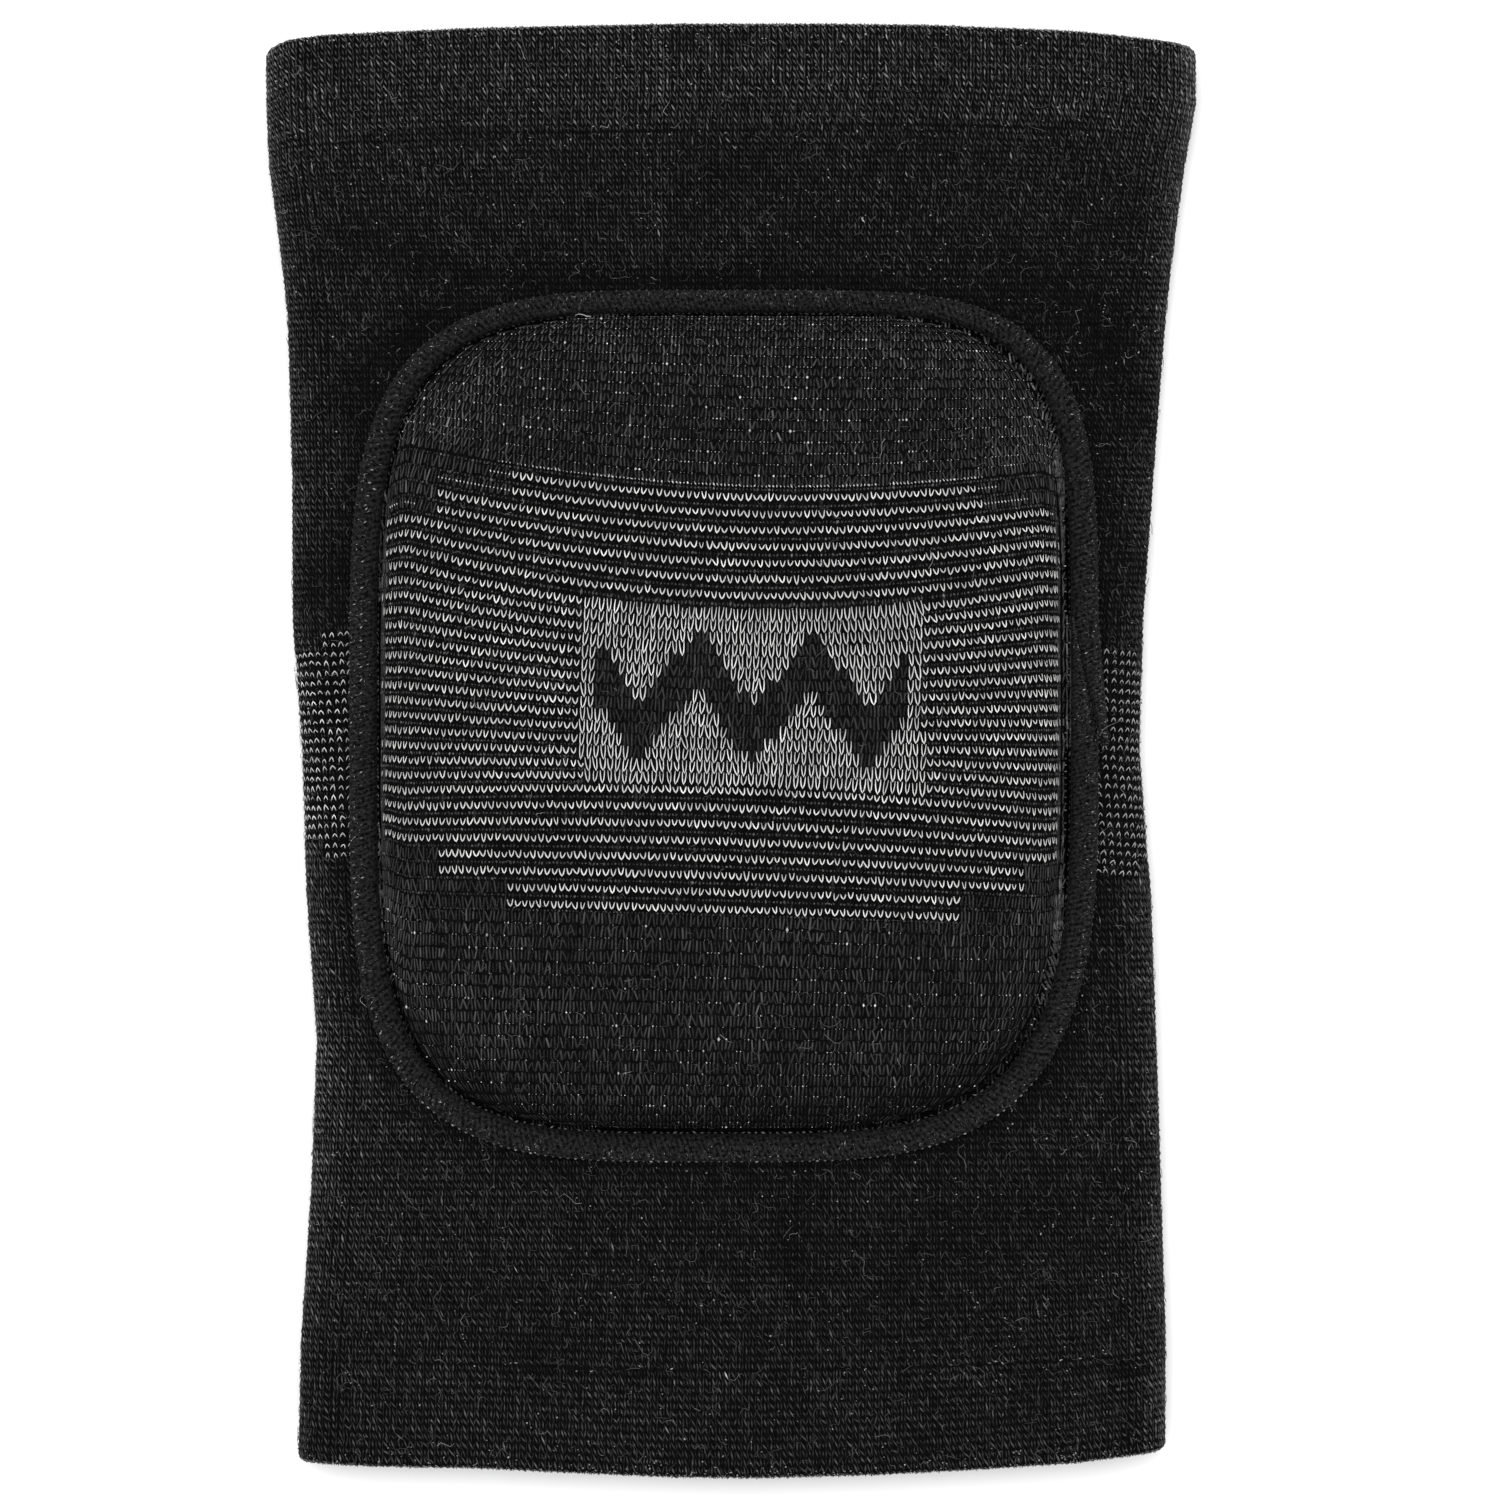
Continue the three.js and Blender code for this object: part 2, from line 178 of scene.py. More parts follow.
class Shader:
    """A material that is written node by node."""

    def __init__(self, name: str) -> None:
        """Starts an empty material."""
        self.material = bpy.data.materials.new(name)
        self.material.use_nodes = True
        self.tree = self.material.node_tree
        self.tree.nodes.clear()

    def add(
        self, kind: str, settings: dict[str, Any], inputs: dict[int | str, Any]
    ) -> bpy.types.Node:
        """Adds a node.

        Args:
            kind: The node's type.
            settings: Its settings.
            inputs: Values or wires for its sockets.

        Returns:
            The node.
        """
        node = self.tree.nodes.new(kind)
        for key, value in settings.items():
            setattr(node, key, value)
        for key, value in inputs.items():
            if isinstance(value, Wire):
                self.tree.links.new(value.socket, node.inputs[key])
            else:
                node.inputs[key].default_value = value
        return node

    def node(
        self,
        kind: str,
        settings: dict[str, Any],
        inputs: dict[int | str, Any],
        output: int | str = 0,
    ) -> Wire:
        """Adds a node and gives the wire of one of its outputs."""
        return Wire(self, self.add(kind, settings, inputs).outputs[output])

    def chart(self) -> tuple[Wire, Wire]:
        """The two coordinates of the piece's own chart."""
        uv = self.node("ShaderNodeUVMap", {"uv_map": CHART}, {})
        parts = self.add("ShaderNodeSeparateXYZ", {}, {0: uv}).outputs
        return Wire(self, parts[0]), Wire(self, parts[1])

    def tint(self) -> Wire:
        """The piece's own tint, one number for each stitch."""
        return self.node("ShaderNodeAttribute", {"attribute_name": TINT}, {}, "Fac")

    def noise(self, scale: float, detail: float) -> Wire:
        """Noise in the piece's own metres."""
        place = self.node("ShaderNodeTexCoord", {}, {}, "Object")
        inputs = {"Vector": place, "Scale": scale, "Detail": detail}
        return self.node("ShaderNodeTexNoise", {}, inputs, "Fac")

    def speckle(self, first: Wire, second: Wire) -> Wire:
        """A random number for each pair of whole numbers."""
        cell = self.node("ShaderNodeCombineXYZ", {}, {0: first, 1: second})
        return self.node("ShaderNodeTexWhiteNoise", {"noise_dimensions": "2D"}, {"Vector": cell})

    def mix(self, share: Wire, low: Triple | Wire, high: Triple | Wire) -> Wire:
        """Colour between two colours."""
        ends = [end if isinstance(end, Wire) else (*end, 1.0) for end in (low, high)]
        settings = {"data_type": "RGBA", "clamp_factor": True}
        return self.node("ShaderNodeMix", settings, {0: share, 6: ends[0], 7: ends[1]}, 2)

    def close(self, values: dict[str, Any]) -> bpy.types.Material:
        """Gives the material its surface, with values or wires for its sockets."""
        surface = self.node("ShaderNodeBsdfPrincipled", {}, values)
        self.add("ShaderNodeOutputMaterial", {}, {0: surface})
        return self.material

    def cloth(
        self, colour: Wire, roughness: float, relief: Wire, depth: float, sheen: float = 0.0
    ) -> bpy.types.Material:
        """Closes the material with a cloth surface.

        Args:
            colour: Base colour.
            roughness: Roughness all over.
            relief: Height of the fine relief, from 0 to 1.
            depth: Depth of that relief in millimetres.
            sheen: Weight of the cloth's sheen.

        Returns:
            The finished material.
        """
        heights = {"Height": relief, "Distance": depth * MM, "Strength": 1.0}
        values = {
            "Base Color": colour,
            "Roughness": roughness,
            "Normal": self.node("ShaderNodeBump", {}, heights),
            "Sheen Weight": sheen,
            "Sheen Roughness": 0.5,
            "Specular IOR Level": 0.04,
        }
        return self.close(values)


@dataclass(frozen=True)
class KnitFinish:
    """Fine plain knit whose chart counts wales across and courses along."""

    name: str
    gap: Triple
    yarn: Triple
    speck: Triple
    speck_share: float
    relief: float
    roughness: float = 0.92
    leg_foot: float = 0.13
    leg_spread: float = 0.20
    leg_width: float = 0.15
    fluff: Pair = (1400.0, 3.0)
    cloud: Pair = (90.0, 3.0)

    def make(self) -> bpy.types.Material:
        """Writes the material."""
        shader = Shader(self.name)
        wale, course = shader.chart()
        across = abs(wale.fraction() - 0.5)
        along = course.fraction()
        leg = (1 - abs(across - (along * self.leg_spread + self.leg_foot)) / self.leg_width).kept()
        rounded = (along * math.pi).wave() ** 0.6
        fluff = shader.noise(*self.fluff)
        stitch = leg * rounded * 0.5 + fluff * 0.5
        cloud = shader.noise(*self.cloud)
        chance = shader.speckle((wale * 2.0).floor(), course.floor())
        heather = stitch * (chance * 0.7 + 0.3) * (cloud * 1.0 + 0.5)
        worn = ((fluff * 0.9 + 0.25) * heather).kept()
        colour = shader.mix(worn, self.gap, self.yarn)
        light = chance.above(1 - self.speck_share) * stitch * fluff
        colour = shader.mix(light, colour, self.speck)
        return shader.cloth(colour, self.roughness, stitch * 0.8 + fluff * 0.2, self.relief)


@dataclass(frozen=True)
class YarnFinish:
    """Yarn of separate stitches.

    Tints up to 1 run from its dark to its light colour, and on to 2 to the pale lint caught in it.
    """

    name: str
    dark: Triple
    light: Triple
    lint: Triple
    roughness: float = 0.88
    relief: float = 0.08
    strands: Pair = (2600.0, 2.0)
    cloud: Pair = (70.0, 2.0)

    def make(self) -> bpy.types.Material:
        """Writes the material."""
        shader = Shader(self.name)
        strands = shader.noise(*self.strands)
        cloud = shader.noise(*self.cloud)
        tint = shader.tint()
        share = (tint * (cloud * 0.9 + 0.4) + strands * 0.4 - 0.2).kept()
        colour = shader.mix(share, self.dark, self.light)
        colour = shader.mix((tint - 1.0).kept(), colour, self.lint)
        return shader.cloth(colour, self.roughness, strands, self.relief)


@dataclass(frozen=True)
class TapeFinish:
    """Fine woven tape whose chart counts millimetres along and across."""

    name: str
    dark: Triple
    light: Triple
    roughness: float = 0.86
    relief: float = 0.16
    sheen: float = 0.02
    cords: float = 9.0
    turns: float = 7.2
    slope: float = 0.35
    fluff: Pair = (1500.0, 3.0)

    def make(self) -> bpy.types.Material:
        """Writes the material."""
        shader = Shader(self.name)
        along, across = shader.chart()
        cords = (across * self.cords).wave() * 0.5 + 0.5
        turns = ((along + across * self.slope) * self.turns).wave() * 0.5 + 0.5
        weave = cords * 0.25 + turns * 0.75
        fluff = shader.noise(*self.fluff)
        share = (weave * 0.50 + fluff * 2.60 - 1.20).kept()
        colour = shader.mix(share, self.dark, self.light)
        relief = weave * 0.7 + fluff * 0.3
        return shader.cloth(colour, self.roughness, relief, self.relief, self.sheen)


@dataclass(frozen=True)
class FloorFinish:
    """Plain pale floor."""

    name: str = "pale_floor"
    colour: Triple = (0.94, 0.94, 0.94)

    def make(self) -> bpy.types.Material:
        """Writes the material."""
        return Shader(self.name).close({"Base Color": (*self.colour, 1.0), "Roughness": 0.9})


def grey(tone: float) -> Triple:
    """A plain grey."""
    return (tone, tone, tone)


BLACK_KNIT = KnitFinish("black_sleeve_knit", grey(0.0006), grey(0.0085), grey(0.05), 0.01, 0.30)
BLACK_GROUND = KnitFinish("black_cover_knit", grey(0.0006), grey(0.0110), grey(0.04), 0.01, 0.25)
WHITE_YARN = YarnFinish("white_yarn", grey(0.24), (0.74, 0.74, 0.73), grey(0.85))
BLACK_YARN = YarnFinish("black_yarn", grey(0.0025), grey(0.130), grey(0.45))
GREY_LINT = YarnFinish("grey_lint", grey(0.03), grey(0.15), grey(0.40))
BLACK_TAPE = TapeFinish("black_tape", grey(0.0006), grey(0.0200))


# Stitches, gathered by the thousand


@dataclass
class Seats:
    """Places where grains are set, with unit vectors across, along and outwards."""

    origin: Array
    across: Array
    along: Array
    outward: Array

    def __len__(self) -> int:
        """Number of places."""
        return len(self.origin)

    def chosen(self, mask: Array) -> Seats:
        """The places that a mask picks."""
        return Seats(self.origin[mask], self.across[mask], self.along[mask], self.outward[mask])

    def shifted(self, across: Array | float, along: Array | float, outward: Array | float) -> Seats:
        """The places moved by millimetres across, along and outwards."""
        origin = self.origin
        moves = (across, self.across), (along, self.along), (outward, self.outward)
        for move, direction in moves:
            origin = origin + direction * np.broadcast_to(move, (len(self),))[:, None]
        return Seats(origin, self.across, self.along, self.outward)

    def turned(self, angles: Array) -> Seats:
        """The places turned about the outward direction, to the left when the angle grows."""
        cosine, sine = np.cos(angles)[:, None], np.sin(angles)[:, None]
        across = self.across * cosine + self.along * sine
        along = self.along * cosine - self.across * sine
        return Seats(self.origin, across, along, self.outward)


def seats_on(place: Place, first: Array, second: Array, step: Pair) -> Seats:
    """Seats on a surface that is given by two coordinates.

    Args:
        place: Gives the points for arrays of both coordinates.
        first: First coordinates, which grow across.
        second: Second coordinates, which grow along.
        step: Small steps of both, for the surface's directions.

    Returns:
        The seats.
    """
    across = unit(place(first + step[0], second) - place(first - step[0], second))
    along = unit(place(first, second + step[1]) - place(first, second - step[1]))
    outward = unit(np.cross(across, along))
    return Seats(place(first, second), across, unit(np.cross(outward, across)), outward)


def tube_seats(place: Place, turn: Array, way: Array) -> Seats:
    """Seats on a face of the tube, which run across it from the left to the right in front."""
    return seats_on(lambda first, second: place(-first, second), -turn, way, (0.002, 0.2))


def varied(
    rng: Random,
    size: Triple | Array,
    spread: float,
    count: int,
    low: float = 0.5,
    high: float = 1.5,
) -> Array:
    """Sizes for a number of copies of a motif, each a little different.

    Args:
        rng: Source of the differences.
        size: Mean size across, along and outwards.
        spread: Share by which they differ.
        count: Number of copies.
        low: Smallest share of the mean size.
        high: Largest share of the mean size.

    Returns:
        One size for each copy.
    """
    return np.array(size) * rng.normal(1, spread, (count, 3)).clip(low, high)


@dataclass(frozen=True)
class Motif:
    """A small closed shape that is repeated, with corners across, along and outwards."""

    corners: Array
    faces: list[tuple[int, ...]]

    @staticmethod
    def of(shape: bmesh.types.BMesh) -> Motif:
        """Takes a motif from a bmesh and frees it."""
        shape.verts.index_update()
        corners = np.array([corner.co[:] for corner in shape.verts])
        faces = [tuple(corner.index for corner in face.verts) for face in shape.faces]
        shape.free()
        return Motif(corners, faces)

    @staticmethod
    def grain(sides: int, rings: int) -> Motif:
        """A grain of yarn whose half sizes are 1."""
        shape = bmesh.new()
        quarter = math.radians(90)
        lengthways = Matrix.Rotation(quarter, 4, "X") @ Matrix.Rotation(quarter, 4, "Z")
        bmesh.ops.create_uvsphere(
            shape, u_segments=sides, v_segments=rings, radius=1.0, matrix=lengthways
        )
        return Motif.of(shape)

    @staticmethod
    def rod(steps: int, taper: float = 1.0) -> Motif:
        """A three-sided rod from -1 to 1 along, whose radius falls from 1 to its taper."""
        shape = bmesh.new()
        bmesh.ops.create_cone(
            shape, cap_ends=True, segments=3, radius1=1.0, radius2=taper, depth=2.0,
            matrix=Matrix.Rotation(math.radians(-90), 4, "X"),
        )
        if steps > 1:
            long_edges = [e for e in shape.edges if abs(e.verts[0].co.y - e.verts[1].co.y) > 1.0]
            bmesh.ops.subdivide_edges(shape, edges=long_edges, cuts=steps - 1)
        return Motif.of(shape)


@dataclass(frozen=True)
class Loop:
    """A loop of yarn on the knitting, which hangs down and is open at its top, in millimetres."""

    half_width: float
    height: float
    radius: float
    waist: float = 0.0
    jitter: float = 0.08
    steps: int = 6
    bend: float = 0.66
    rise: float = 1.3
    tuck: float = 0.14
    taper: float = 0.5
    lean: float = 0.0

    def _path(self, way: Array) -> Array:
        """Points along the yarn, from -1 at one top over 0 at the foot to 1 at the other top."""
        far = np.abs(way)
        across = self.half_width * far**self.bend * (1 - self.waist * far**2.5)
        along = self.height * (far**self.rise - 0.5)
        return np.stack([np.sign(way) * across, along, -self.tuck * far**2], axis=-1)

    def motif(self) -> Motif:
        """The loop as a bent and tapered rod."""
        rod = Motif.rod(self.steps)
        side, way, up = rod.corners.T
        forward = unit(self._path(way + 0.15) - self._path(way - 0.15))
        sideways = unit(np.stack([forward[:, 1], -forward[:, 0], 0 * way], axis=-1))
        outward = np.cross(sideways, forward)
        radius = self.radius * (1 - self.taper * np.abs(way) ** 2)
        bent = (sideways * side[:, None] + outward * up[:, None]) * radius[:, None]
        return Motif(self._path(way) + bent, rod.faces)

    def knit(self, heap: Heap, seats: Seats, dye: Dye, rng: Random) -> None:
        """Adds a loop on every seat, smaller where the knitting falls away steeply.

        Args:
            heap: Where they are gathered.
            seats: The middles of the loops.
            dye: Gives tints for a number of loops.
            rng: Source of their small differences.
        """
        count = len(seats)
        sway = rng.normal(0, self.jitter, (3, count)) * np.array([[0.45], [1.0], [0.2]])
        placed = seats.shifted(*sway).turned(rng.normal(self.lean, self.jitter * 1.3, count))
        sizes = rng.normal(1, self.jitter * 1.4, (count, 3)).clip(0.6, 1.4)
        level = 0.35 + 0.65 * np.abs(seats.outward[:, 2:])
        sizes *= np.concatenate([0.4 + 0.6 * level, 0 * level + 1, level], axis=1)
        heap.add(self.motif(), placed, sizes, dye(count))


SHARP_GRAIN = Motif.grain(4, 2)
SMALL_GRAIN = Motif.grain(3, 2)
STRAND = Motif.rod(1, 0.8)
FIBRE = Motif.rod(4, 0.4)


@dataclass
class Heap:
    """Copies of motifs, gathered for one mesh with a tint for each copy."""

    corners: list[Array] = field(default_factory=list)
    faces: list[tuple[int, ...]] = field(default_factory=list)
    tints: list[Array] = field(default_factory=list)
    count: int = 0

    def add(
        self,
        motif: Motif,
        seats: Seats,
        sizes: Array | Triple,
        tints: Array | float,
        curls: Array | None = None,
    ) -> None:
        """Adds copies of a motif.

        Args:
            motif: The shape.
            seats: Where its copies are set.
            sizes: Their sizes across, along and outwards.
            tints: Their tints.
            curls: How far each sweeps and waves sideways and arches, in millimetres.
        """
        copies, per = len(seats), len(motif.corners)
        local = motif.corners[None] * np.broadcast_to(sizes, (copies, 3))[:, None]
        if curls is not None:
            way = motif.corners[:, 1]
            sweep, wave, arch = (curls[:, k, None] for k in range(3))
            local[..., 0] += sweep * way**2 + wave * np.sin(math.pi * way)
            local[..., 2] += arch * (1 - way**2)
        points = seats.origin[:, None] + (
            local[..., 0:1] * seats.across[:, None]
            + local[..., 1:2] * seats.along[:, None]
            + local[..., 2:3] * seats.outward[:, None]
        )
        starts = range(self.count, self.count + copies * per, per)
        self.faces += [tuple(start + k for k in face) for start in starts for face in motif.faces]
        self.corners.append(points.reshape(-1, 3))
        self.tints.append(np.repeat(np.broadcast_to(tints, (copies,)), per))
        self.count += copies * per

    def piece(self, name: str, finish: YarnFinish, slot: Slot) -> bpy.types.Object:
        """Makes one piece of all the copies."""
        mesh = bpy.data.meshes.new(name)
        mesh.from_pydata((np.concatenate(self.corners) * MM).tolist(), [], self.faces)
        layer = mesh.attributes.new(TINT, "FLOAT", "POINT")
        layer.data.foreach_set("value", np.concatenate(self.tints).astype(np.float32))
        mesh.shade_smooth()
        return add_piece(name, mesh, finish.make(), slot)


@dataclass(frozen=True)
class Stitch:
    """Sizes of a stitch, which shows two short legs side by side, in millimetres."""

    top: float
    foot: float
    length: float
    leg: float
    depth: float
    jitter: float = 0.12
    sway: float = 1.0
    lopsided: float = 0.0
    slant: float = 0.0

    def knit(self, heap: Heap, motif: Motif, seats: Seats, dye: Dye, rng: Random) -> None:
        """Adds both legs of every stitch to a heap.

        Args:
            heap: Where they are gathered.
            motif: The grain that each leg is.
            seats: The middles of the stitches.
            dye: Gives tints for a number of legs.
            rng: Source of their small differences.
        """
        count = len(seats)
        half = (self.leg, self.length / 2, self.depth)
        for side in Side:
            sway = rng.normal(0, self.jitter * 0.3 * self.top * self.sway, (3, count))
            spread = side.value * (self.top + self.foot) / 2
            lean = side.value * math.atan2(self.top - self.foot, self.length)
            legs = seats.shifted(spread + sway[0], sway[1] * 1.5, sway[2] * 0.5).turned(
                rng.normal(self.slant - lean, self.jitter, count)
            )
            sizes = varied(rng, half, self.jitter, count)
            heap.add(motif, legs, sizes, dye(count) * (1 - side.value * self.lopsided))


@dataclass(frozen=True)
class Heather:
    """Mixture of tints in a yarn: median, spread, share of lint-white ones and the palest other."""

    median: float
    spread: float
    lint: float = 0.0
    most: float = 1.1

    def tints(self, rng: Random, painted_light_and_tone: Array | float = 1.0) -> Dye:
        """Gives a maker of tints, which are multiplied by the tone of their places, painted light
        and shade included.
        """

        def dye(count: int) -> Array:
            """Tints for a number of grains."""
            plain = self.median * painted_light_and_tone * rng.lognormal(0, self.spread, count)
            is_lint = rng.random(count) < self.lint
            return np.where(is_lint, rng.uniform(0.9, 1.9, count), plain.clip(0.0, self.most))

        return dye


def skin(name: str, cells: tuple[int, int], place: Place, chart: Place) -> bmesh.types.BMesh:
    """A grid of faces whose corners are moved onto a surface, with merged seams.

    Args:
        name: Name of the mesh that carries the grid meanwhile.
        cells: Numbers of cells in both directions.
        place: Gives points in millimetres for shares from 0 to 1 in both directions.
        chart: Gives chart coordinates for the same shares.

    Returns:
        The skin, in metres, with its chart.
    """
    grid = bmesh.new()
    bmesh.ops.create_grid(grid, x_segments=cells[0], y_segments=cells[1], size=1.0)
    mesh = bpy.data.meshes.new(name)
    grid.to_mesh(mesh)
    flat = np.empty(len(mesh.vertices) * 3, np.float32)
    mesh.vertices.foreach_get("co", flat)
    shares = (flat.reshape(-1, 3)[:, :2].astype(float) + 1) / 2
    first = np.rint(shares[:, 0] * cells[0]) / cells[0]
    second = np.rint(shares[:, 1] * cells[1]) / cells[1]
    corner = np.empty(len(mesh.loops), np.int32)
    mesh.loops.foreach_get("vertex_index", corner)
    layer = mesh.uv_layers.new(name=CHART)
    layer.data.foreach_set("uv", chart(first, second)[corner].astype(np.float32).ravel())
    mesh.vertices.foreach_set("co", (place(first, second) * MM).astype(np.float32).ravel())
    grid.clear()
    grid.from_mesh(mesh)
    bpy.data.meshes.remove(mesh)
    bmesh.ops.remove_doubles(grid, verts=grid.verts[:], dist=2e-6)
    return grid


def close_skin(grid: bmesh.types.BMesh, name: str) -> bpy.types.Mesh:
    """Fills what is open, turns the faces outwards and gives the smooth mesh."""
    open_edges = [edge for edge in grid.edges if edge.is_boundary]
    if open_edges:
        bmesh.ops.holes_fill(grid, edges=open_edges, sides=0)
    bmesh.ops.recalc_face_normals(grid, faces=grid.faces[:])
    mesh = bpy.data.meshes.new(name)
    grid.to_mesh(mesh)
    grid.free()
    mesh.shade_smooth()
    return mesh


def add_piece(
    name: str, mesh: bpy.types.Mesh, material: bpy.types.Material, slot: Slot
) -> bpy.types.Object:
    """Adds a piece of the knee pad, riding on its body.

    Args:
        name: The piece's name.
        mesh: Its mesh.
        material: Its finish.
        slot: Not used.

    Returns:
        The object.
    """
    mesh.name = name
    mesh.materials.append(material)
    piece = bpy.data.objects.new(name, mesh)
    bpy.context.scene.collection.objects.link(piece)
    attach(piece, BODY)
    log.info("%s: %d faces", name, len(mesh.polygons))
    return piece


# Forms that the solids have


@dataclass(frozen=True)
class Dent:
    """Soft dent or swelling of the sleeve's front, in millimetres."""

    x: float
    y: float
    reach_x: float
    reach_y: float
    lift: float
    turn: float = 0.0

    def at(self, x: Array, y: Array) -> Array:
        """Lift at places on the front."""
        cosine, sine = math.cos(math.radians(self.turn)), math.sin(math.radians(self.turn))
        across = ((x - self.x) * cosine + (y - self.y) * sine) / self.reach_x
        along = ((y - self.y) * cosine - (x - self.x) * sine) / self.reach_y
        return self.lift * np.exp(-across * across - along * along)


@dataclass(frozen=True)
class SleeveForm:
    """Faces of the flat knitted tube, as its solid has them.

    A turn runs once round the tube: the front from the knee's right to its left, the left fold, the
    back and the right fold.
    """

    half_width: float = 83.2
    half_length: float = 130.01
    hem_depth: float = 19.0
    hem_thickness: float = 3.0
    wall: float = 1.5
    grooves: Pair = (0.15, 0.2)
    groove_reach: float = 1.9
    bed_height: float = 9.5
    mouth_height: float = 12.0
    bed_top: float = 84.56
    bed_bottom: float = -75.96
    fold_reach: float = 8.0
    thigh_sag: tuple[Pair, ...] = (
        (-1.0, 4.6), (-0.95, 3.2), (-0.87, 2.3), (-0.765, 1.9), (-0.55, 1.1), (-0.33, 0.7),
        (-0.12, 0.35), (0.20, 0.35), (0.42, 0.55), (0.63, 1.25), (0.74, 1.65), (0.85, 2.6),
        (0.95, 3.6), (1.0, 4.4),
    )
    calf_sag: tuple[Pair, ...] = (
        (-1.0, 2.8), (-0.82, 2.1), (-0.59, 1.8), (-0.36, 0.95), (-0.13, 0.2), (0.06, 0.0),
        (0.33, 0.6), (0.56, 1.5), (0.79, 2.7), (0.91, 3.9), (1.0, 4.8),
    )
    thigh_seam_tilt: float = 1.7
    flat_share: float = 0.433
    pad: PadForm = field(default_factory=lambda: PadForm())
    pad_margin: float = 5.2
    sides: tuple[Triple, ...] = (
        (0.00, 1.000, 1.000), (0.04, 1.000, 1.000), (0.09, 0.994, 0.976), (0.20, 0.955, 0.936),
        (0.31, 0.945, 0.910), (0.41, 0.944, 0.887), (0.50, 0.925, 0.881), (0.60, 0.914, 0.904),
        (0.70, 0.892, 0.916), (0.80, 0.904, 0.926), (0.91, 0.925, 0.935), (1.00, 0.931, 0.934),
    )
    dents: tuple[Dent, ...] = (
        Dent(10.8, -88.4, 7.9, 25.4, -0.9),
        Dent(10.0, -84.0, 3.2, 15.0, -0.5, 4.0),
        Dent(-8.3, -98.8, 17.0, 17.0, 0.55),
        Dent(-45.8, 101.4, 16.8, 10.5, 0.5),
        Dent(37.4, 104.0, 19.2, 11.5, 0.45),
        Dent(1.7, 93.6, 9.6, 12.5, -0.45),
    )
    # Creases dent the front and also darken its yarn as painted shade.
    creases: tuple[Dent, ...] = (
        Dent(-66.0, 67.0, 12.0, 3.8, -1.2, 57.0),
        Dent(-56.0, 75.5, 8.0, 2.6, -1.2, 38.0),
        Dent(-55.0, 87.5, 15.0, 3.6, -1.0, -18.0),
        Dent(-42.5, 81.0, 4.5, 2.2, 0.9, 12.0),
        Dent(-16.0, 83.5, 26.0, 3.2, -0.8, 0.0),
        Dent(67.5, 70.0, 12.0, 5.0, -1.5, -60.0),
        Dent(57.0, 81.5, 13.0, 5.0, -1.2, -30.0),
        Dent(-73.0, 28.0, 5.0, 6.0, -0.8),
        Dent(72.0, 33.0, 4.5, 8.0, -0.7),
        Dent(11.4, -84.0, 3.4, 13.0, -0.8),
        Dent(41.0, -87.0, 9.0, 8.0, -0.6),
        Dent(-72.0, -58.0, 5.0, 12.0, 0.5),
    )
    # Patches of painted light and shade on the sleeve's yarn: paler where the lift is above 0,
    # darker below.
    painted_light_patches: tuple[Dent, ...] = (
        Dent(0.0, 121.0, 200.0, 9.0, 1.4),
        Dent(-60.0, 104.0, 30.0, 9.0, 0.35),
        Dent(-78.0, 55.0, 9.0, 45.0, 0.40),
        Dent(72.0, 60.0, 9.0, 26.0, -0.18),
        Dent(-72.0, -55.0, 13.0, 42.0, 0.95),
        Dent(-50.0, -85.0, 25.0, 14.0, 0.35),
        Dent(78.0, -60.0, 10.0, 50.0, 0.08),
        Dent(10.0, -86.0, 60.0, 12.0, -0.22),
        Dent(-30.0, -121.0, 60.0, 9.0, 0.25),
        Dent(40.0, -122.0, 60.0, 7.0, 0.10),
    )

    # How clearly the hems' seams show across the tube: the strength of the painted shade in their
    # grooves and the share of their threads.
    thigh_line: tuple[Pair, ...] = (
        (-74, 0.2), (-62, 0.9), (-34, 0.9), (-20, 0.5), (40, 0.4), (55, 0.0)
    )
    calf_line: tuple[Pair, ...] = (
        (-60, 0.0), (-52, 0.5), (-40, 0.95), (-30, 0.95), (-8, 0.6), (0, 0.15), (34, 0.15),
        (42, 0.75), (72, 0.75), (80, 0.2),
    )
    # Painted light and shade on the sleeve's yarn: painted shade in creases and near the pad,
    # painted highlights at the folds and the mouths' edges, and one paler wale.
    paleness: float = 0.95
    crease_shade: float = 0.75
    pad_shade: float = 0.6
    fold_highlight: float = 1.2
    mouth_highlight: float = 1.5
    bright_wale: float = -12.7

    def painted_light_and_tone(self, seats: Seats) -> Array:
        """Tone of the yarn at seats: painted light at folds and edges, painted shade in creases,
        seams and by the pad.
        """
        x, y, _ = seats.origin.T
        flat = np.abs(seats.outward[:, 2])
        shown = self.line_shown(x, y)
        # Painted light and shade in patches.
        painted_light_patches = self.paleness + sum(patch.at(x, y) for patch in self.painted_light_patches)
        # Painted shade in the creases.
        creases = np.exp(self.crease_shade * sum(crease.at(x, y) for crease in self.creases))
        # Painted shade near the pad.
        beyond = smoothstep(self.pad.reach(x, y, self.pad_margin), 0.99, 1.07)
        near_pad = 1 - self.pad_shade * (1 - beyond)
        # Painted highlights where the knitting turns at the folds and at the mouths' edges.
        edge = 1 + self.fold_highlight * (1 - flat) ** 0.8 + self.mouth_highlight * seats.outward[:, 1] ** 2
        seam = self.seam(x, y)
        # Painted shade in the groove of the nearer hem's seam, broken along it.
        broken = 0.6 + 0.4 * np.sin(x * 0.21 + np.sign(y)) * np.sin(x * 0.083 + 2.0)
        groove_shade = 1 - shown * broken * np.exp(-((seam / 0.8) ** 2))
        # Painted highlight on the knitting just beside that seam.
        lit_fold = 1 + 0.35 * np.exp(-(((seam - 1.6) / 1.0) ** 2))
        run = 1 + 0.8 * ((np.abs(x - self.bright_wale) < 0.55) & (y > 82))
        return painted_light_patches * creases * near_pad * edge * groove_shade * lit_fold * run

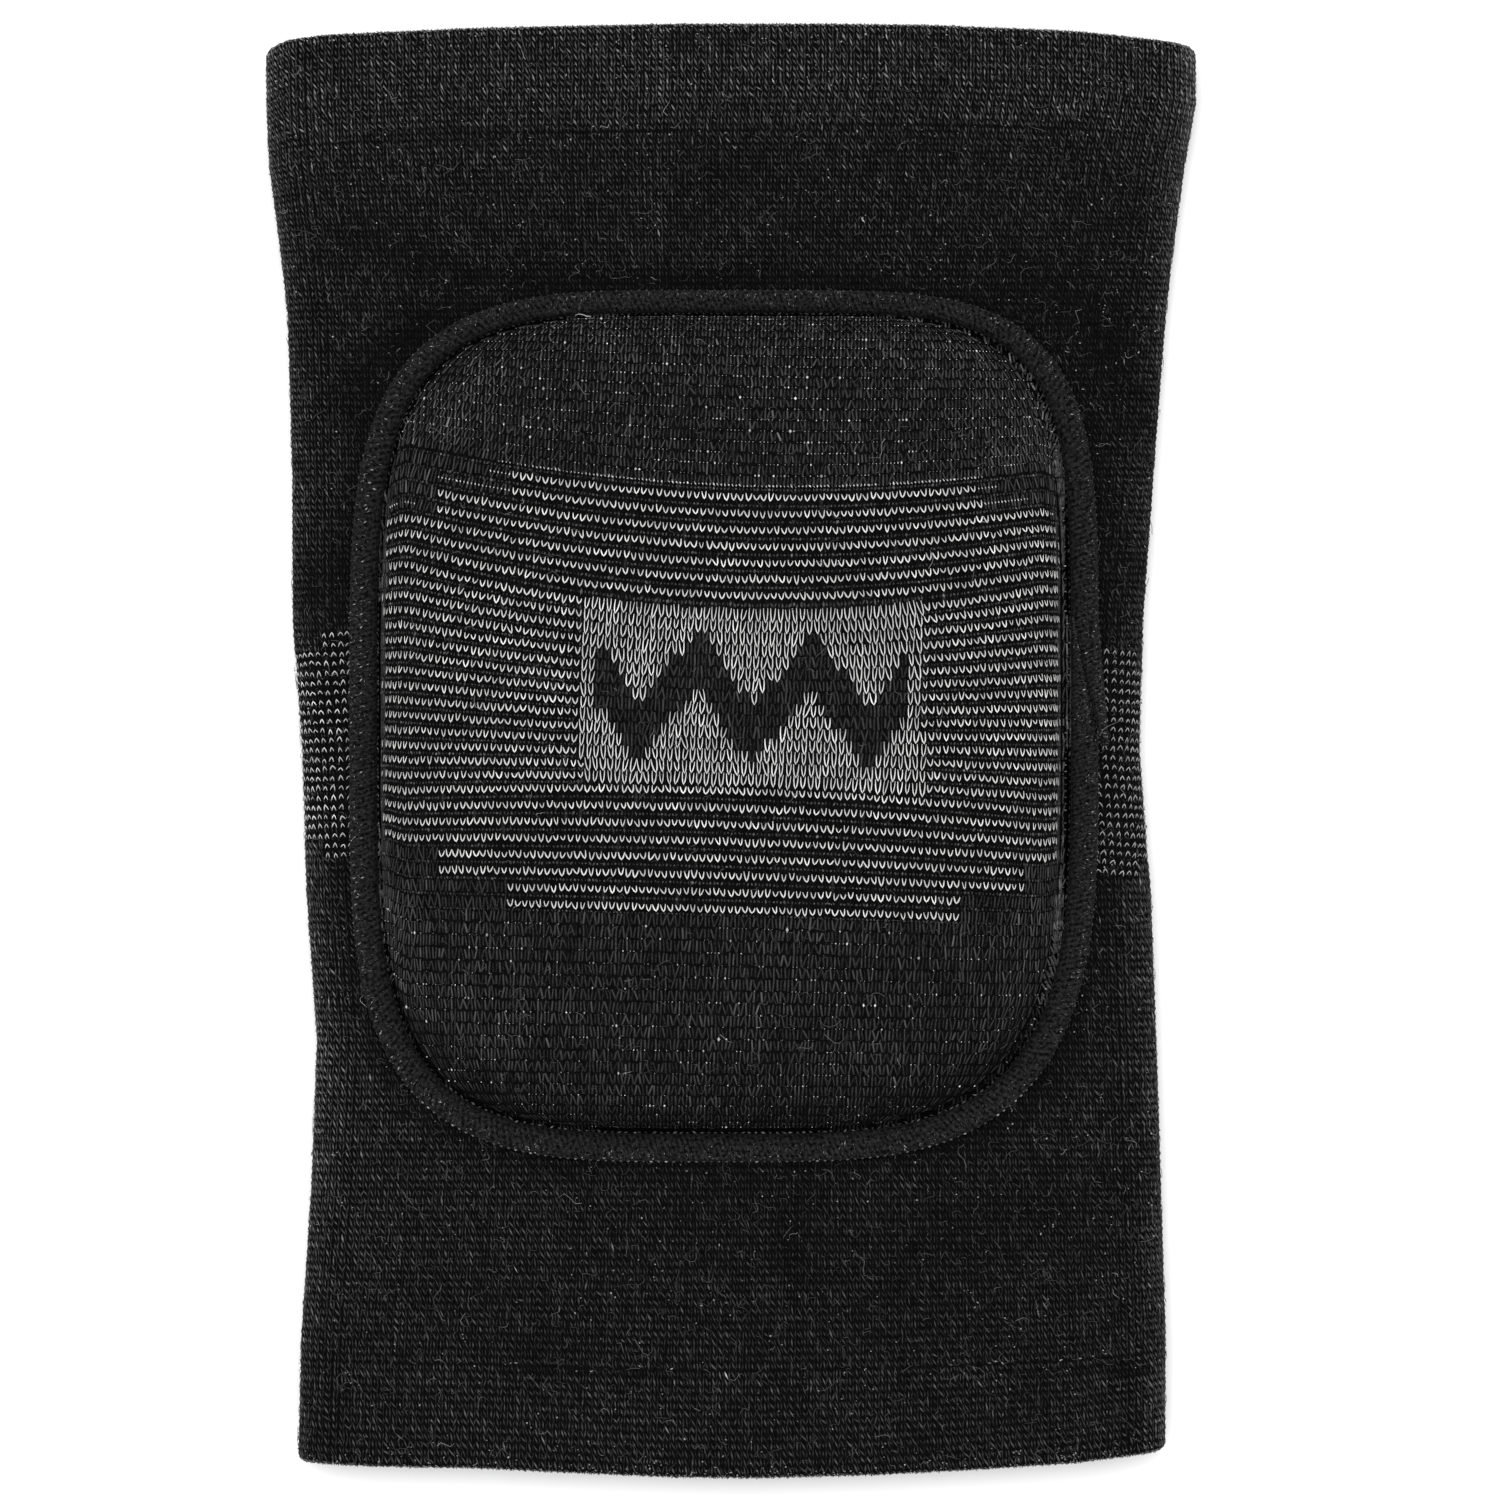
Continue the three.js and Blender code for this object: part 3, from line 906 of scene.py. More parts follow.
    def line_shown(self, x: Array, y: Array) -> Array:
        """How clearly the nearer hem's seam shows at places across the tube."""
        thigh, calf = (np.interp(x, *zip(*line)) for line in (self.thigh_line, self.calf_line))
        return np.where(y > 0, thigh, calf)

    def under_pad(self, seats: Seats, share: float) -> Array:
        """Which seats on the front the pad hides, up to a share of the way to its tape's edge."""
        x, y, z = seats.origin.T
        return (self.pad.reach(x, y, self.pad_margin) < share) & (z > self.bed_height / 2)

    def half_widths(self, y: Array) -> tuple[Array, Array]:
        """Half widths at both sides, at places along the tube."""
        at, left, right = zip(*self.sides)
        share = (self.half_length - y) / (2 * self.half_length)
        left, right = np.interp(share, at, left), np.interp(share, at, right)
        return left * self.half_width, right * self.half_width

    def seam(self, x: Array, y: Array) -> Array:
        """Distance along the tube from the nearer hem's seam."""
        thigh = self.half_length - self.hem_depth + self.thigh_seam_tilt * x / self.half_width
        calf = -self.half_length + self.hem_depth
        return np.where(y > 0, y - thigh, calf - y)

    def front_height(self, x: Array, y: Array) -> Array:
        """Height of the front above the floor, without its dents."""
        thigh = smoothstep(y, self.bed_top, self.half_length)
        calf = smoothstep(-y, -self.bed_bottom, self.half_length)
        rise = (self.mouth_height - self.bed_height) * np.maximum(thigh, calf)
        fall = np.maximum(0, 1 - np.abs(self.seam(x, y)) / self.groove_reach) ** 1.5
        return self.bed_height + rise - np.where(y > 0, *self.grooves) * fall

    def dent_lift(self, x: Array, y: Array) -> Array:
        """Lift of the front by its dents, fading out towards the pad."""
        thigh = smoothstep(y, self.bed_top, self.bed_top + self.hem_depth)
        calf = smoothstep(-y, -self.bed_bottom, self.hem_depth - self.bed_bottom)
        dents = sum(dent.at(x, y) for dent in self.dents) * np.maximum(thigh, calf)
        beyond = smoothstep(self.pad.reach(x, y, self.pad_margin), 0.97, 1.02)
        return dents + sum(crease.at(x, y) for crease in self.creases) * beyond

    def bow(self, share: Array, y: Array) -> Array:
        """How far the mouths' sides sit back from their middle."""
        thigh, calf = (np.interp(share, *zip(*sag)) for sag in (self.thigh_sag, self.calf_sag))
        thigh = thigh * smoothstep(y, self.bed_top, self.half_length)
        return calf * smoothstep(-y, -self.bed_bottom, self.half_length) - thigh

    def place(self, turn: Array, y: Array, depth: Array | float = 0.0) -> Array:
        """Points of the tube.

        Args:
            turn: Shares of a turn round the tube.
            y: Places along the tube.
            depth: Depths inside the outer face.

        Returns:
            The points.
        """
        turn = np.mod(turn, 1.0)
        left, right = self.half_widths(y)
        reach, flat = self.fold_reach, self.flat_share
        fold = 0.5 - flat
        front, back = turn / flat, (turn - 0.5) / flat
        left_angle = math.pi * (0.5 + (turn - flat) / fold)
        right_angle = math.pi * (1.5 + (turn - 0.5 - flat) / fold)
        front_x = right - reach + (2 * reach - left - right) * front
        back_x = reach - left + (left + right - 2 * reach) * back
        where = [turn < flat, turn < 0.5, turn < 0.5 + flat]
        x = np.select(
            where,
            [front_x, reach - left + (reach - depth) * np.cos(left_angle), back_x],
            right - reach + (reach - depth) * np.cos(right_angle),
        )
        top = self.front_height(x, y)
        middle = top / 2
        lift = self.dent_lift(x, y) * (1 - np.abs(2 * front - 1) ** 4)
        z = np.select(
            where,
            [top - depth + lift, middle + (middle - depth) * np.sin(left_angle), depth + 0 * x],
            middle + (middle - depth) * np.sin(right_angle),
        )
        share = np.where(x < 0, x / left, x / right)
        return np.stack([x, y + self.bow(share, y), z], axis=-1)

    def face(self, turn: Array, way: Array) -> Array:
        """Points of the outer face by their way along it, which goes on round the mouths' edges."""
        radius = self.hem_thickness / 2
        end = self.half_length - radius
        angle = np.maximum(0, np.abs(way) - end) / radius
        y = np.sign(way) * (np.minimum(np.abs(way), end) + radius * np.sin(angle))
        return self.place(turn, y, radius * (1 - np.cos(angle)))


@dataclass(frozen=True)
class PadForm:
    """Outer face of the padded dome, as the cover's solid has it. X and Y count from its middle."""

    half_width: float = 61.7
    half_length: float = 73.05
    height: float = 18.2
    shift: float = -1.25
    centre: float = 4.741
    foot: float = 9.8
    thigh_powers: Pair = (4.25, 5.0)
    calf_powers: Pair = (4.15, 3.75)
    calf_fall: float = 2.7
    thigh_fall: float = 4.3
    roundness: float = 2.3
    side_flanges: Pair = (0.5, 1.7)
    end_flanges: Pair = (0.4, 0.8)
    flange_lift: float = 0.35

    def power(self, x: Array, y: Array) -> Array:
        """Power of the outline's superellipse in the quarter of each place."""
        thigh = np.where(x < 0, *self.thigh_powers)
        calf = np.where(x < 0, *self.calf_powers)
        return np.where(y < 0, calf, thigh)

    def half_width_at(self, x: Array, y: Array) -> Array:
        """Half width of the outline at places along it, on the side of X."""
        power = self.power(x, y)
        rest = np.maximum(0, 1 - np.abs(y / self.half_length) ** power)
        return self.half_width * rest ** (1 / power)

    def reach(self, x: Array, y: Array, margin: float) -> Array:
        """Share of the way from the middle to the outline, which is widened by a margin."""
        x, y = np.asarray(x) - self.shift, np.asarray(y) - self.centre
        power = self.power(x, y)
        across = np.abs(x / (self.half_width + margin))
        along = np.abs(y / (self.half_length + margin))
        return (across**power + along**power) ** (1 / power)

    def dome_sizes(self, x: Array, y: Array) -> tuple[Array, Array]:
        """Half width and half length of the dome inside its sewn flange, on a place's sides."""
        width = self.half_width - np.where(x < 0, *self.side_flanges)
        length = self.half_length - np.where(y > 0, *self.end_flanges)
        return width, length

    def dome_share(self, x: Array, y: Array) -> Array:
        """Share of the way from the middle to the dome's foot."""
        power = self.power(x, y)
        width, length = self.dome_sizes(x, y)
        return (np.abs(x / width) ** power + np.abs(y / length) ** power) ** (1 / power)

    def surface(self, x: Array, y: Array, lift: Array | float = 0.0) -> Array:
        """Points of the dome and of its flange.

        Args:
            x: Places across.
            y: Places along.
            lift: How far the points stand out from the smooth dome.

        Returns:
            The points, in the part's own frame.
        """
        power = self.power(x, y)
        width, length = self.dome_sizes(x, y)
        across, along = np.abs(x / width), np.abs(y / length)
        whole = (across**power + along**power) ** (1 / power)
        share = np.clip(whole, 1e-4, 1 - 1e-4)
        end = (y / self.half_length + 1) / 2
        fall = self.calf_fall + (self.thigh_fall - self.calf_fall) * end
        left_over = 1 - share**fall
        height = self.height * left_over ** (1 / self.roundness)
        slope = height * fall * share ** (fall - power) / (self.roundness * left_over)
        on_flange = whole > 1
        slope = np.where(on_flange, 0.0, slope)
        height = np.where(on_flange, self.flange_lift, np.maximum(height, self.flange_lift))
        tilt_x = slope * np.sign(x) * across ** (power - 1) / width
        tilt_y = slope * np.sign(y) * along ** (power - 1) / length
        normal = unit(np.stack([tilt_x, tilt_y, np.ones_like(x)], axis=-1))
        point = np.stack([x + self.shift, y + self.centre, self.foot + height], axis=-1)
        return point + normal * np.asarray(lift)[..., None]

    def outline(self, angle: Array) -> tuple[Array, Array]:
        """Points of the outline in directions from its middle, and the directions that face out."""
        cosine, sine = np.cos(angle), np.sin(angle)
        power = self.power(cosine, sine)
        across, along = np.abs(cosine / self.half_width), np.abs(sine / self.half_length)
        reach = (across**power + along**power) ** (-1 / power)
        x, y = cosine * reach, sine * reach
        sideways = np.sign(x) * np.abs(x / self.half_width) ** (power - 1) / self.half_width
        lengthways = np.sign(y) * np.abs(y / self.half_length) ** (power - 1) / self.half_length
        outward = unit(np.stack([sideways, lengthways], axis=-1))
        return np.stack([x + self.shift, y + self.centre], axis=-1), outward


@dataclass(frozen=True)
class RowRun:
    """White rows that end short of the cover's sides, from a first to a last row."""

    first: float
    last: float
    start: float
    end: float
    faint_start: float = 1000.0
    faint_end: float = -1000.0


@dataclass
class PadKnit:
    """The cover's knitting: rows counted from the first white one, wales from the middle.

    Rows are given along three lines, near the left side, near the middle and near the right side,
    and bow smoothly between them.
    """

    form: PadForm
    wale: float = 1.31
    lines: Triple = (-59.8, 4.65, 59.35)
    first_row: Triple = (51.2, 42.6, 46.0)
    block_top: float = 22.4
    block_bottom: float = -12.1
    block_first: float = 19.1
    block_last: float = -9.95
    last_row: Triple = (-31.3, -32.9, -34.9)
    block_rows: tuple[int, int] = (7, 23)
    last: int = 30
    black_pitch: Pair = (2.05, 2.2)
    thigh_tilt: Triple = (1.7, 0.0, -1.7)
    calf_tilt: Triple = (0.9, 0.0, -0.4)
    wale_lean: float = 0.045
    side_curl: float = 0.065
    curl_from: float = 55.5
    block_sides: Pair = (-25.1, 35.3)
    plain_rib: float = 0.05
    white_rib: float = 0.22
    limit: float = 0.9995
    dome_limit: float = 0.9985
    runs: tuple[RowRun, ...] = (
        RowRun(0.2, 0.3, -34.2, 45.2, -40.0, 46.0),
        RowRun(1, 1, -36.8, 44.0, -41.0, 48.3),
        RowRun(2, 2, -37.3, 46.3, -50.9, 53.8),
        RowRun(3, 3, -50.9, 57.6, -50.9, 58.5),
        RowRun(4, 4, -50.9, 1000.0, -60.0, 1000.0),
        RowRun(27, 28, -50.2, 52.8),
        RowRun(29, 30, -38.4, 41.9),
    )
    rows: Array = field(init=False)
    places: Array = field(init=False)
    wale_lengths: Array = field(init=False)
    wale_places: Array = field(init=False)

    def __post_init__(self) -> None:
        """Works out the rows on the three lines and the wales across the middle."""
        form = self.form
        share = -np.cos(np.linspace(0, math.pi, 1201))
        up = form.surface(0 * share, share * form.half_length)
        lengths = np.concatenate([[0], np.cumsum(np.linalg.norm(np.diff(up, axis=0), axis=1))])
        along = share * form.half_length
        side_line = form.surface(share * form.half_width, 0 * share)
        steps = np.linalg.norm(np.diff(side_line, axis=0), axis=1)
        self.wale_places = share * form.half_width
        self.wale_lengths = np.concatenate([[0], np.cumsum(steps)])
        self.wale_lengths -= np.interp(0, self.wale_places, self.wale_lengths)
        top, bottom = self.block_rows
        known_rows = [0, top, top + 1, bottom - 1, bottom, self.last]
        block = [self.block_top, self.block_first, self.block_last, self.block_bottom]
        middle = [self.first_row[1], *block, self.last_row[1]]
        white = np.interp(np.arange(self.last + 1), known_rows, middle)
        starts = np.interp([white[0], white[-1]], along, lengths)
        above = lengths[-1] - starts[0]
        above_rows = round(above / self.black_pitch[0])
        below_rows = round(starts[1] / self.black_pitch[1])
        up_share = np.arange(above_rows, 0, -1) / above_rows
        down_share = np.arange(1, below_rows + 1) / below_rows
        upper = np.interp(starts[0] + above * up_share, lengths, along)
        lower = np.interp(starts[1] * (1 - down_share), lengths, along)
        self.rows = np.arange(-above_rows, self.last + below_rows + 1).astype(float)
        centre = np.concatenate([upper, white, lower])
        white_share = np.arange(self.last + 1) / self.last
        self.places = np.stack([self._line(centre, upper, lower, white_share, k) for k in range(3)])

    def _line(self, centre: Array, upper: Array, lower: Array, share: Array, k: int) -> Array:
        """Rows along one of the three lines, from the middle line's rows.

        Args:
            centre: All rows of the middle line.
            upper: Its rows above the white ones.
            lower: Its rows below the white ones.
            share: Shares of the way down the white rows.
            k: Which line it is, from the left.

        Returns:
            The places of all rows along that line.
        """
        if k == 1:
            return centre
        ends = []
        for rows, known, tilt, side in (
            (upper, self.first_row, self.thigh_tilt[k], 1),
            (lower, self.last_row, self.calf_tilt[k], -1),
        ):
            near = known[1]
            way = (rows - near) / (side * self.form.half_length - near)
            ends.append(rows + (known[k] - near) * (1 - way) ** 1.5 + tilt * way * (1 - way**6))
        top, foot = self.first_row[k], self.last_row[k]
        return np.concatenate([ends[0], top + (foot - top) * share, ends[1]])

    def along(self, row: Array, x: Array) -> Array:
        """Place along the pad of a row, where it passes a place across."""
        left, middle, right = (np.interp(row, self.rows, line) for line in self.places)
        low, mid, high = self.lines
        x = np.clip(x, low, high)
        first = (middle - left) / (mid - low)
        second = ((right - middle) / (high - mid) - first) / (high - low)
        place = left + first * (x - low) + second * (x - low) * (x - mid)
        curl = self.side_curl * np.where(x < 0, 1.0, 0.6)
        return place * (1 - curl * smoothstep(np.abs(x), self.curl_from, self.form.half_width))

    def across(self, wale: Array, y: Array) -> Array:
        """Place across the pad of a wale, at places along it."""
        x = np.interp(wale * self.wale, self.wale_lengths, self.wale_places)
        return x + self.wale_lean * y * np.maximum(0, 1 - (x / self.form.half_width) ** 2)

    def locate(self, wale: Array, row: Array) -> tuple[Array, Array]:
        """Place across and along the pad where a wale and a row cross."""
        y = self.along(row, 0 * wale)
        for _ in range(3):
            x = self.across(wale, y)
            y = self.along(row, x)
        return x, y

    def crest(self, row: Array, x: Array, y: Array) -> Array:
        """How far the rib stands out at a row: the white rows' ribs are the highest."""
        white = smoothstep(row, -1.5, 0.5) * smoothstep(-row, -self.last - 1.5, -self.last - 0.5)
        block = self.block_mask(row, x, 0.8)
        depth = self.plain_rib + self.white_rib * white * (1 - block)
        wave = np.cos(2 * math.pi * row)
        rim = smoothstep(1 - self.form.dome_share(x, y), 0.0, 0.03)
        return depth * wave * rim

    def block_mask(self, row: Array, x: Array, soft: float = 0.01) -> Array:
        """1 inside the knitted block of the cover's middle, and 0 outside."""
        top, bottom = self.block_rows[0] + 0.5, -self.block_rows[1] + 0.5
        left, right = self.block_sides
        rows = smoothstep(row, top - soft, top) * smoothstep(-row, bottom - soft, bottom)
        sides = smoothstep(x, left - soft, left) * smoothstep(-x, -right - soft, -right)
        return rows * sides

    def surface(self, wale: Array, row: Array) -> Array:
        """Points of the ribbed cover where wales and rows cross."""
        x, y = self.locate(wale, row)
        reach = self.form.half_width_at(x, y) * self.limit
        end = self.form.half_length * self.limit
        x, y = np.clip(x, -reach, reach), np.clip(y, -end, end)
        return self.form.surface(x, y, self.crest(row, x, y))

    def inside(self, wale: Array, row: Array) -> Array:
        """Whether a crossing lies on the dome, off its flange."""
        return self.form.dome_share(*self.locate(wale, row)) < self.dome_limit

    def within(self, wale: Array, row: Array) -> Array:
        """Whether a crossing lies on the dome or on its flange."""
        x, y = self.locate(wale, row)
        power = self.form.power(x, y)
        reach = np.abs(x / self.form.half_width) ** power
        return reach + np.abs(y / self.form.half_length) ** power < 0.995

    def seats(self, wale: Array, row: Array) -> Seats:
        """Seats on the ribbed cover where wales and rows cross."""
        return seats_on(lambda first, second: self.surface(first, -second), wale, -row, (0.3, 0.2))

    def is_white(self, row: Array, x: Array) -> Array:
        """Whether a white row reaches a place across."""
        white = (row > 0.1) & (row < self.last + 0.5)
        for run in self.runs:
            short = (row >= run.first) & (row <= run.last)
            white &= ~short | ((x > run.start) & (x < run.end))
        return white

    def is_faint(self, row: Array, x: Array) -> Array:
        """Whether only small tips of a white row show at a place across."""
        faint = np.zeros(row.shape, bool)
        for run in self.runs:
            short = (row >= run.first) & (row <= run.last)
            faint |= short & (x > run.faint_start) & (x < run.faint_end)
        return faint & ~self.is_white(row, x)


# Pieces of the knee pad

LOW_FOLD = 7.0


@dataclass
class Sleeve:
    """The knitted tube with its turned hems."""

    form: SleeveForm
    around: int = 190
    outer_rows: int = 196
    inner_rows: int = 30
    roll_steps: int = 6
    wales: int = 276
    course: float = 1.28
    flat: Pair = (0.322, 0.298)

    def _profile(self) -> tuple[Array, Array]:
        """Places along the tube and depths, over the outside, in at the calf and back inside."""
        form = self.form
        radius = form.hem_thickness / 2
        end = form.half_length - radius
        angles = np.linspace(0, math.pi, self.roll_steps + 1)[1:-1]
        roll_y, roll_depth = radius * np.sin(angles), radius * (1 - np.cos(angles))
        outer = np.linspace(end, -end, self.outer_rows)
        inner = np.linspace(-end, end, self.inner_rows)
        seam = np.abs(inner) - (form.half_length - form.hem_depth)
        inner_depth = form.wall + (form.hem_thickness - form.wall) * smoothstep(seam, -1.5, 1.5)
        along = np.concatenate([outer, -end - roll_y, inner, end + roll_y, outer[:1]])
        depth = np.concatenate([0 * outer, roll_depth, inner_depth, roll_depth[::-1], [0.0]])
        return along, depth

    def build(self) -> bpy.types.Object:
        """Builds the tube in place of its solid."""
        along, depth = self._profile()
        steps = np.linspace(0, 1, len(along))

        def place(turn: Array, share: Array) -> Array:
            """Points for shares of the turn and of the profile."""
            y = np.interp(share, steps, along)
            return self.form.place(turn, y, np.interp(share, steps, depth))

        def chart(turn: Array, share: Array) -> Array:
            """Wales and courses for the same shares."""
            y = np.interp(share, steps, along)
            return np.stack([turn * self.wales, y / self.course], axis=-1)

        grid = skin("sleeve_skin", (self.around, len(along) - 1), place, chart)
        piece = add_piece("knit_sleeve", close_skin(grid, "sleeve"), BLACK_KNIT.make(), Slot.SLEEVE)
        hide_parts("sleeve")
        return piece


@dataclass
class SleeveStitches:
    """Stitches of the sleeve's front and folds, and of its mouths' edges.

    Where the white rows lie, the black stitches are sunk: between places along the tube that are
    given for each side, near its middle and far out.
    """

    form: SleeveForm
    wales: int = 276
    course: float = 1.30
    tightening: float = 0.0011
    lengths: Pair = (0.95, 1.07)
    stitch: Stitch = Stitch(0.46, 0.10, 1.72, 0.205, 0.20, 0.20, 1.3, 0.42, 0.22)
    heather: Heather = Heather(0.228, 0.37, 0.001, 0.80)
    round_edge: float = 2.0
    hidden_share: float = 0.955
    striped: tuple[tuple[Pair, Pair], ...] = (
        ((-19.5, 21.0), (-16.2, 17.4)),
        ((-23.0, 17.6), (-19.8, 14.0)),
    )
    striped_from: float = 73.0
    sink: float = -0.14
    seed: int = 3

    def build(self) -> list[bpy.types.Object]:
        """Builds the stitches of the thigh's half and of the calf's half as two pieces."""
        form, rng = self.form, np.random.default_rng(self.seed)
        end = (form.half_length + self.round_edge) * self.tightening / self.course
        first, last = (int(-math.log(1 - way * end) / self.tightening) for way in (-1, 1))
        wale, course = np.meshgrid(
            np.arange(-round((0.5 - form.flat_share) * self.wales), round(self.wales / 2)) + 0.5,
            np.arange(first, last + 1).astype(float),
        )
        turn = wale.ravel() / self.wales
        way = self.course / self.tightening * (1 - np.exp(-self.tightening * course.ravel()))
        seats = tube_seats(form.face, turn, way)
        hidden = form.under_pad(seats, self.hidden_share)
        seats = seats.shifted(0.0, 0.0, np.where(self._under_stripes(seats), self.sink, 0.0))
        seats = seats.chosen(~hidden)
        pieces = []
        names = ("thigh_stitches", "calf_stitches")
        for name, way, longer in zip(names, (1, -1), self.lengths):
            half = seats.chosen(seats.origin[:, 1] * way > 0)
            heap = Heap()
            stitch = replace(self.stitch, length=self.stitch.length * longer)
            # Tints carry the sleeve's painted light and shade.
            stitch.knit(heap, SMALL_GRAIN, half, self.heather.tints(rng, form.painted_light_and_tone(half)), rng)
            pieces.append(heap.piece(name, BLACK_YARN, Slot.SLEEVE))
        return pieces

    def _under_stripes(self, seats: Seats) -> Array:
        """Which seats lie under the white rows."""
        x, y, z = seats.origin.T
        far = (np.abs(x) > self.striped_from) | (z < LOW_FOLD)
        side = (x > 0).astype(int)
        low, high = np.array(self.striped)[side, far.astype(int)].T
        return (y > low) & (y < high)


@dataclass
class SleeveStripes:
    """White rows of stitches across the sleeve, at the sides and behind the knee.

    The first and the last rows are short in front. The yarn is dimmer at the right in front, and
    darker near the pad as painted shade.
    """

    form: SleeveForm
    rows: int = 24
    pitch: float = 1.71
    left_top: float = 21.8
    right_top: float = 18.2
    wales: int = 248
    bow: float = 1.4
    loop: Loop = Loop(0.40, 0.76, 0.118, jitter=0.10, steps=4, bend=0.8)
    heather: Heather = Heather(0.62, 0.35)
    hidden_half_width: float = 62.0
    short_rows: int = 2
    short_from: float = 73.0
    bow_width: float = 75.0
    lift: float = 0.14
    right_dim: float = 0.26
    plain_dim: float = 0.9
    # Half width of the painted shade near the pad, and the share of the tint left under it.
    near_pad: Pair = (70.0, 0.7)
    seed: int = 11

    def build(self) -> bpy.types.Object:
        """Builds all the stitches as one piece."""
        rng = np.random.default_rng(self.seed)
        wales, rows = np.arange(self.wales) / self.wales, np.arange(self.rows).astype(float)
        turn, row = np.meshgrid(wales, rows)

        turn, row = turn.ravel(), row.ravel()

        def place(back_turn: Array, rows_up: Array) -> Array:
            """Points for turns the other way round and rows upwards."""
            share = self.form.place(-back_turn, 0 * back_turn)[..., 0] / self.bow_width
            top = self.left_top + (self.right_top - self.left_top) * (share + 1) / 2
            y = top + rows_up * self.pitch - self.bow * np.abs(share) ** 4
            return self.form.place(-back_turn, y)

        seats = seats_on(place, -turn, -row, (0.002, 0.1))
        x, _, z = seats.origin.T
        hidden = (np.abs(x) < self.hidden_half_width) & (z > self.form.bed_height / 2)
        outer = (row < self.short_rows) | (row >= self.rows - self.short_rows)
        ended = outer & ((np.abs(x) > self.short_from) | (z < LOW_FOLD))
        seats = seats.chosen(~hidden & ~ended).shifted(0.0, 0.0, self.lift)
        seats = seats.turned(np.full(len(seats), math.pi))
        x, _, z = seats.origin.T
        width, share = self.near_pad
        dim = np.where((x > 0) & (z > 5.0), self.right_dim, self.plain_dim)
        heap = Heap()
        # Painted shade dims the yarn near the pad.
        dye = self.heather.tints(rng, dim * np.where(np.abs(x) < width, share, 1.0))
        self.loop.knit(heap, seats, dye, rng)
        return heap.piece("sleeve_stripe_stitches", WHITE_YARN, Slot.SLEEVE)


@dataclass
class PadCover:
    """The ribbed knit cover, drawn tight over its foam."""

    knit: PadKnit
    columns: int = 120
    rows_per_rib: int = 6
    limit: float = 0.998
    fill: float = 0.97

    def build(self) -> bpy.types.Object:
        """Builds the cover in place of its solid and of the foam under it."""
        knit, form = self.knit, self.knit.form
        first, last = knit.rows[0], knit.rows[-1]
        cells = (self.columns, int(last - first) * self.rows_per_rib)

        def row_at(share: Array) -> Array:
            """Rows for shares of the way up."""
            return last + (first - last) * share

        def across_at(column: Array) -> Array:
            """Shares of the half width for shares of the way over the dome."""
            way = knit.wale_lengths[0] + column * np.ptp(knit.wale_lengths)
            return np.interp(way, knit.wale_lengths, knit.wale_places) / form.half_width

        def place(column: Array, share: Array) -> Array:
            """Points of the ribbed skin, whose rim stands on the sleeve."""
            across = across_at(column)
            row = row_at(share)
            end = self.limit * form.half_length
            y = knit.along(row, 0 * row)
            for _ in range(4):
                x = across * form.half_width_at(across, np.clip(y, -end, end))
                y = knit.along(row, x)
            points = form.surface(x, y, knit.crest(row, x, y))
            rim = (column <= 0) | (column >= 1) | (share <= 0) | (share >= 1)
            points[rim, 2] = form.foot
            return points

        def chart(column: Array, share: Array) -> Array:
            """Wales and rows for the same shares."""
            x = across_at(column) * form.half_width
            wale = np.interp(x, knit.wale_places, knit.wale_lengths) / knit.wale
            return np.stack([wale, -row_at(share)], axis=-1)

        grid = skin("cover_skin", cells, place, chart)
        mesh = close_skin(grid, "cover")
        piece = add_piece("ribbed_cover", mesh, BLACK_GROUND.make(), Slot.COVER)
        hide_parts("pad_cover", "foam_pad")
        return piece


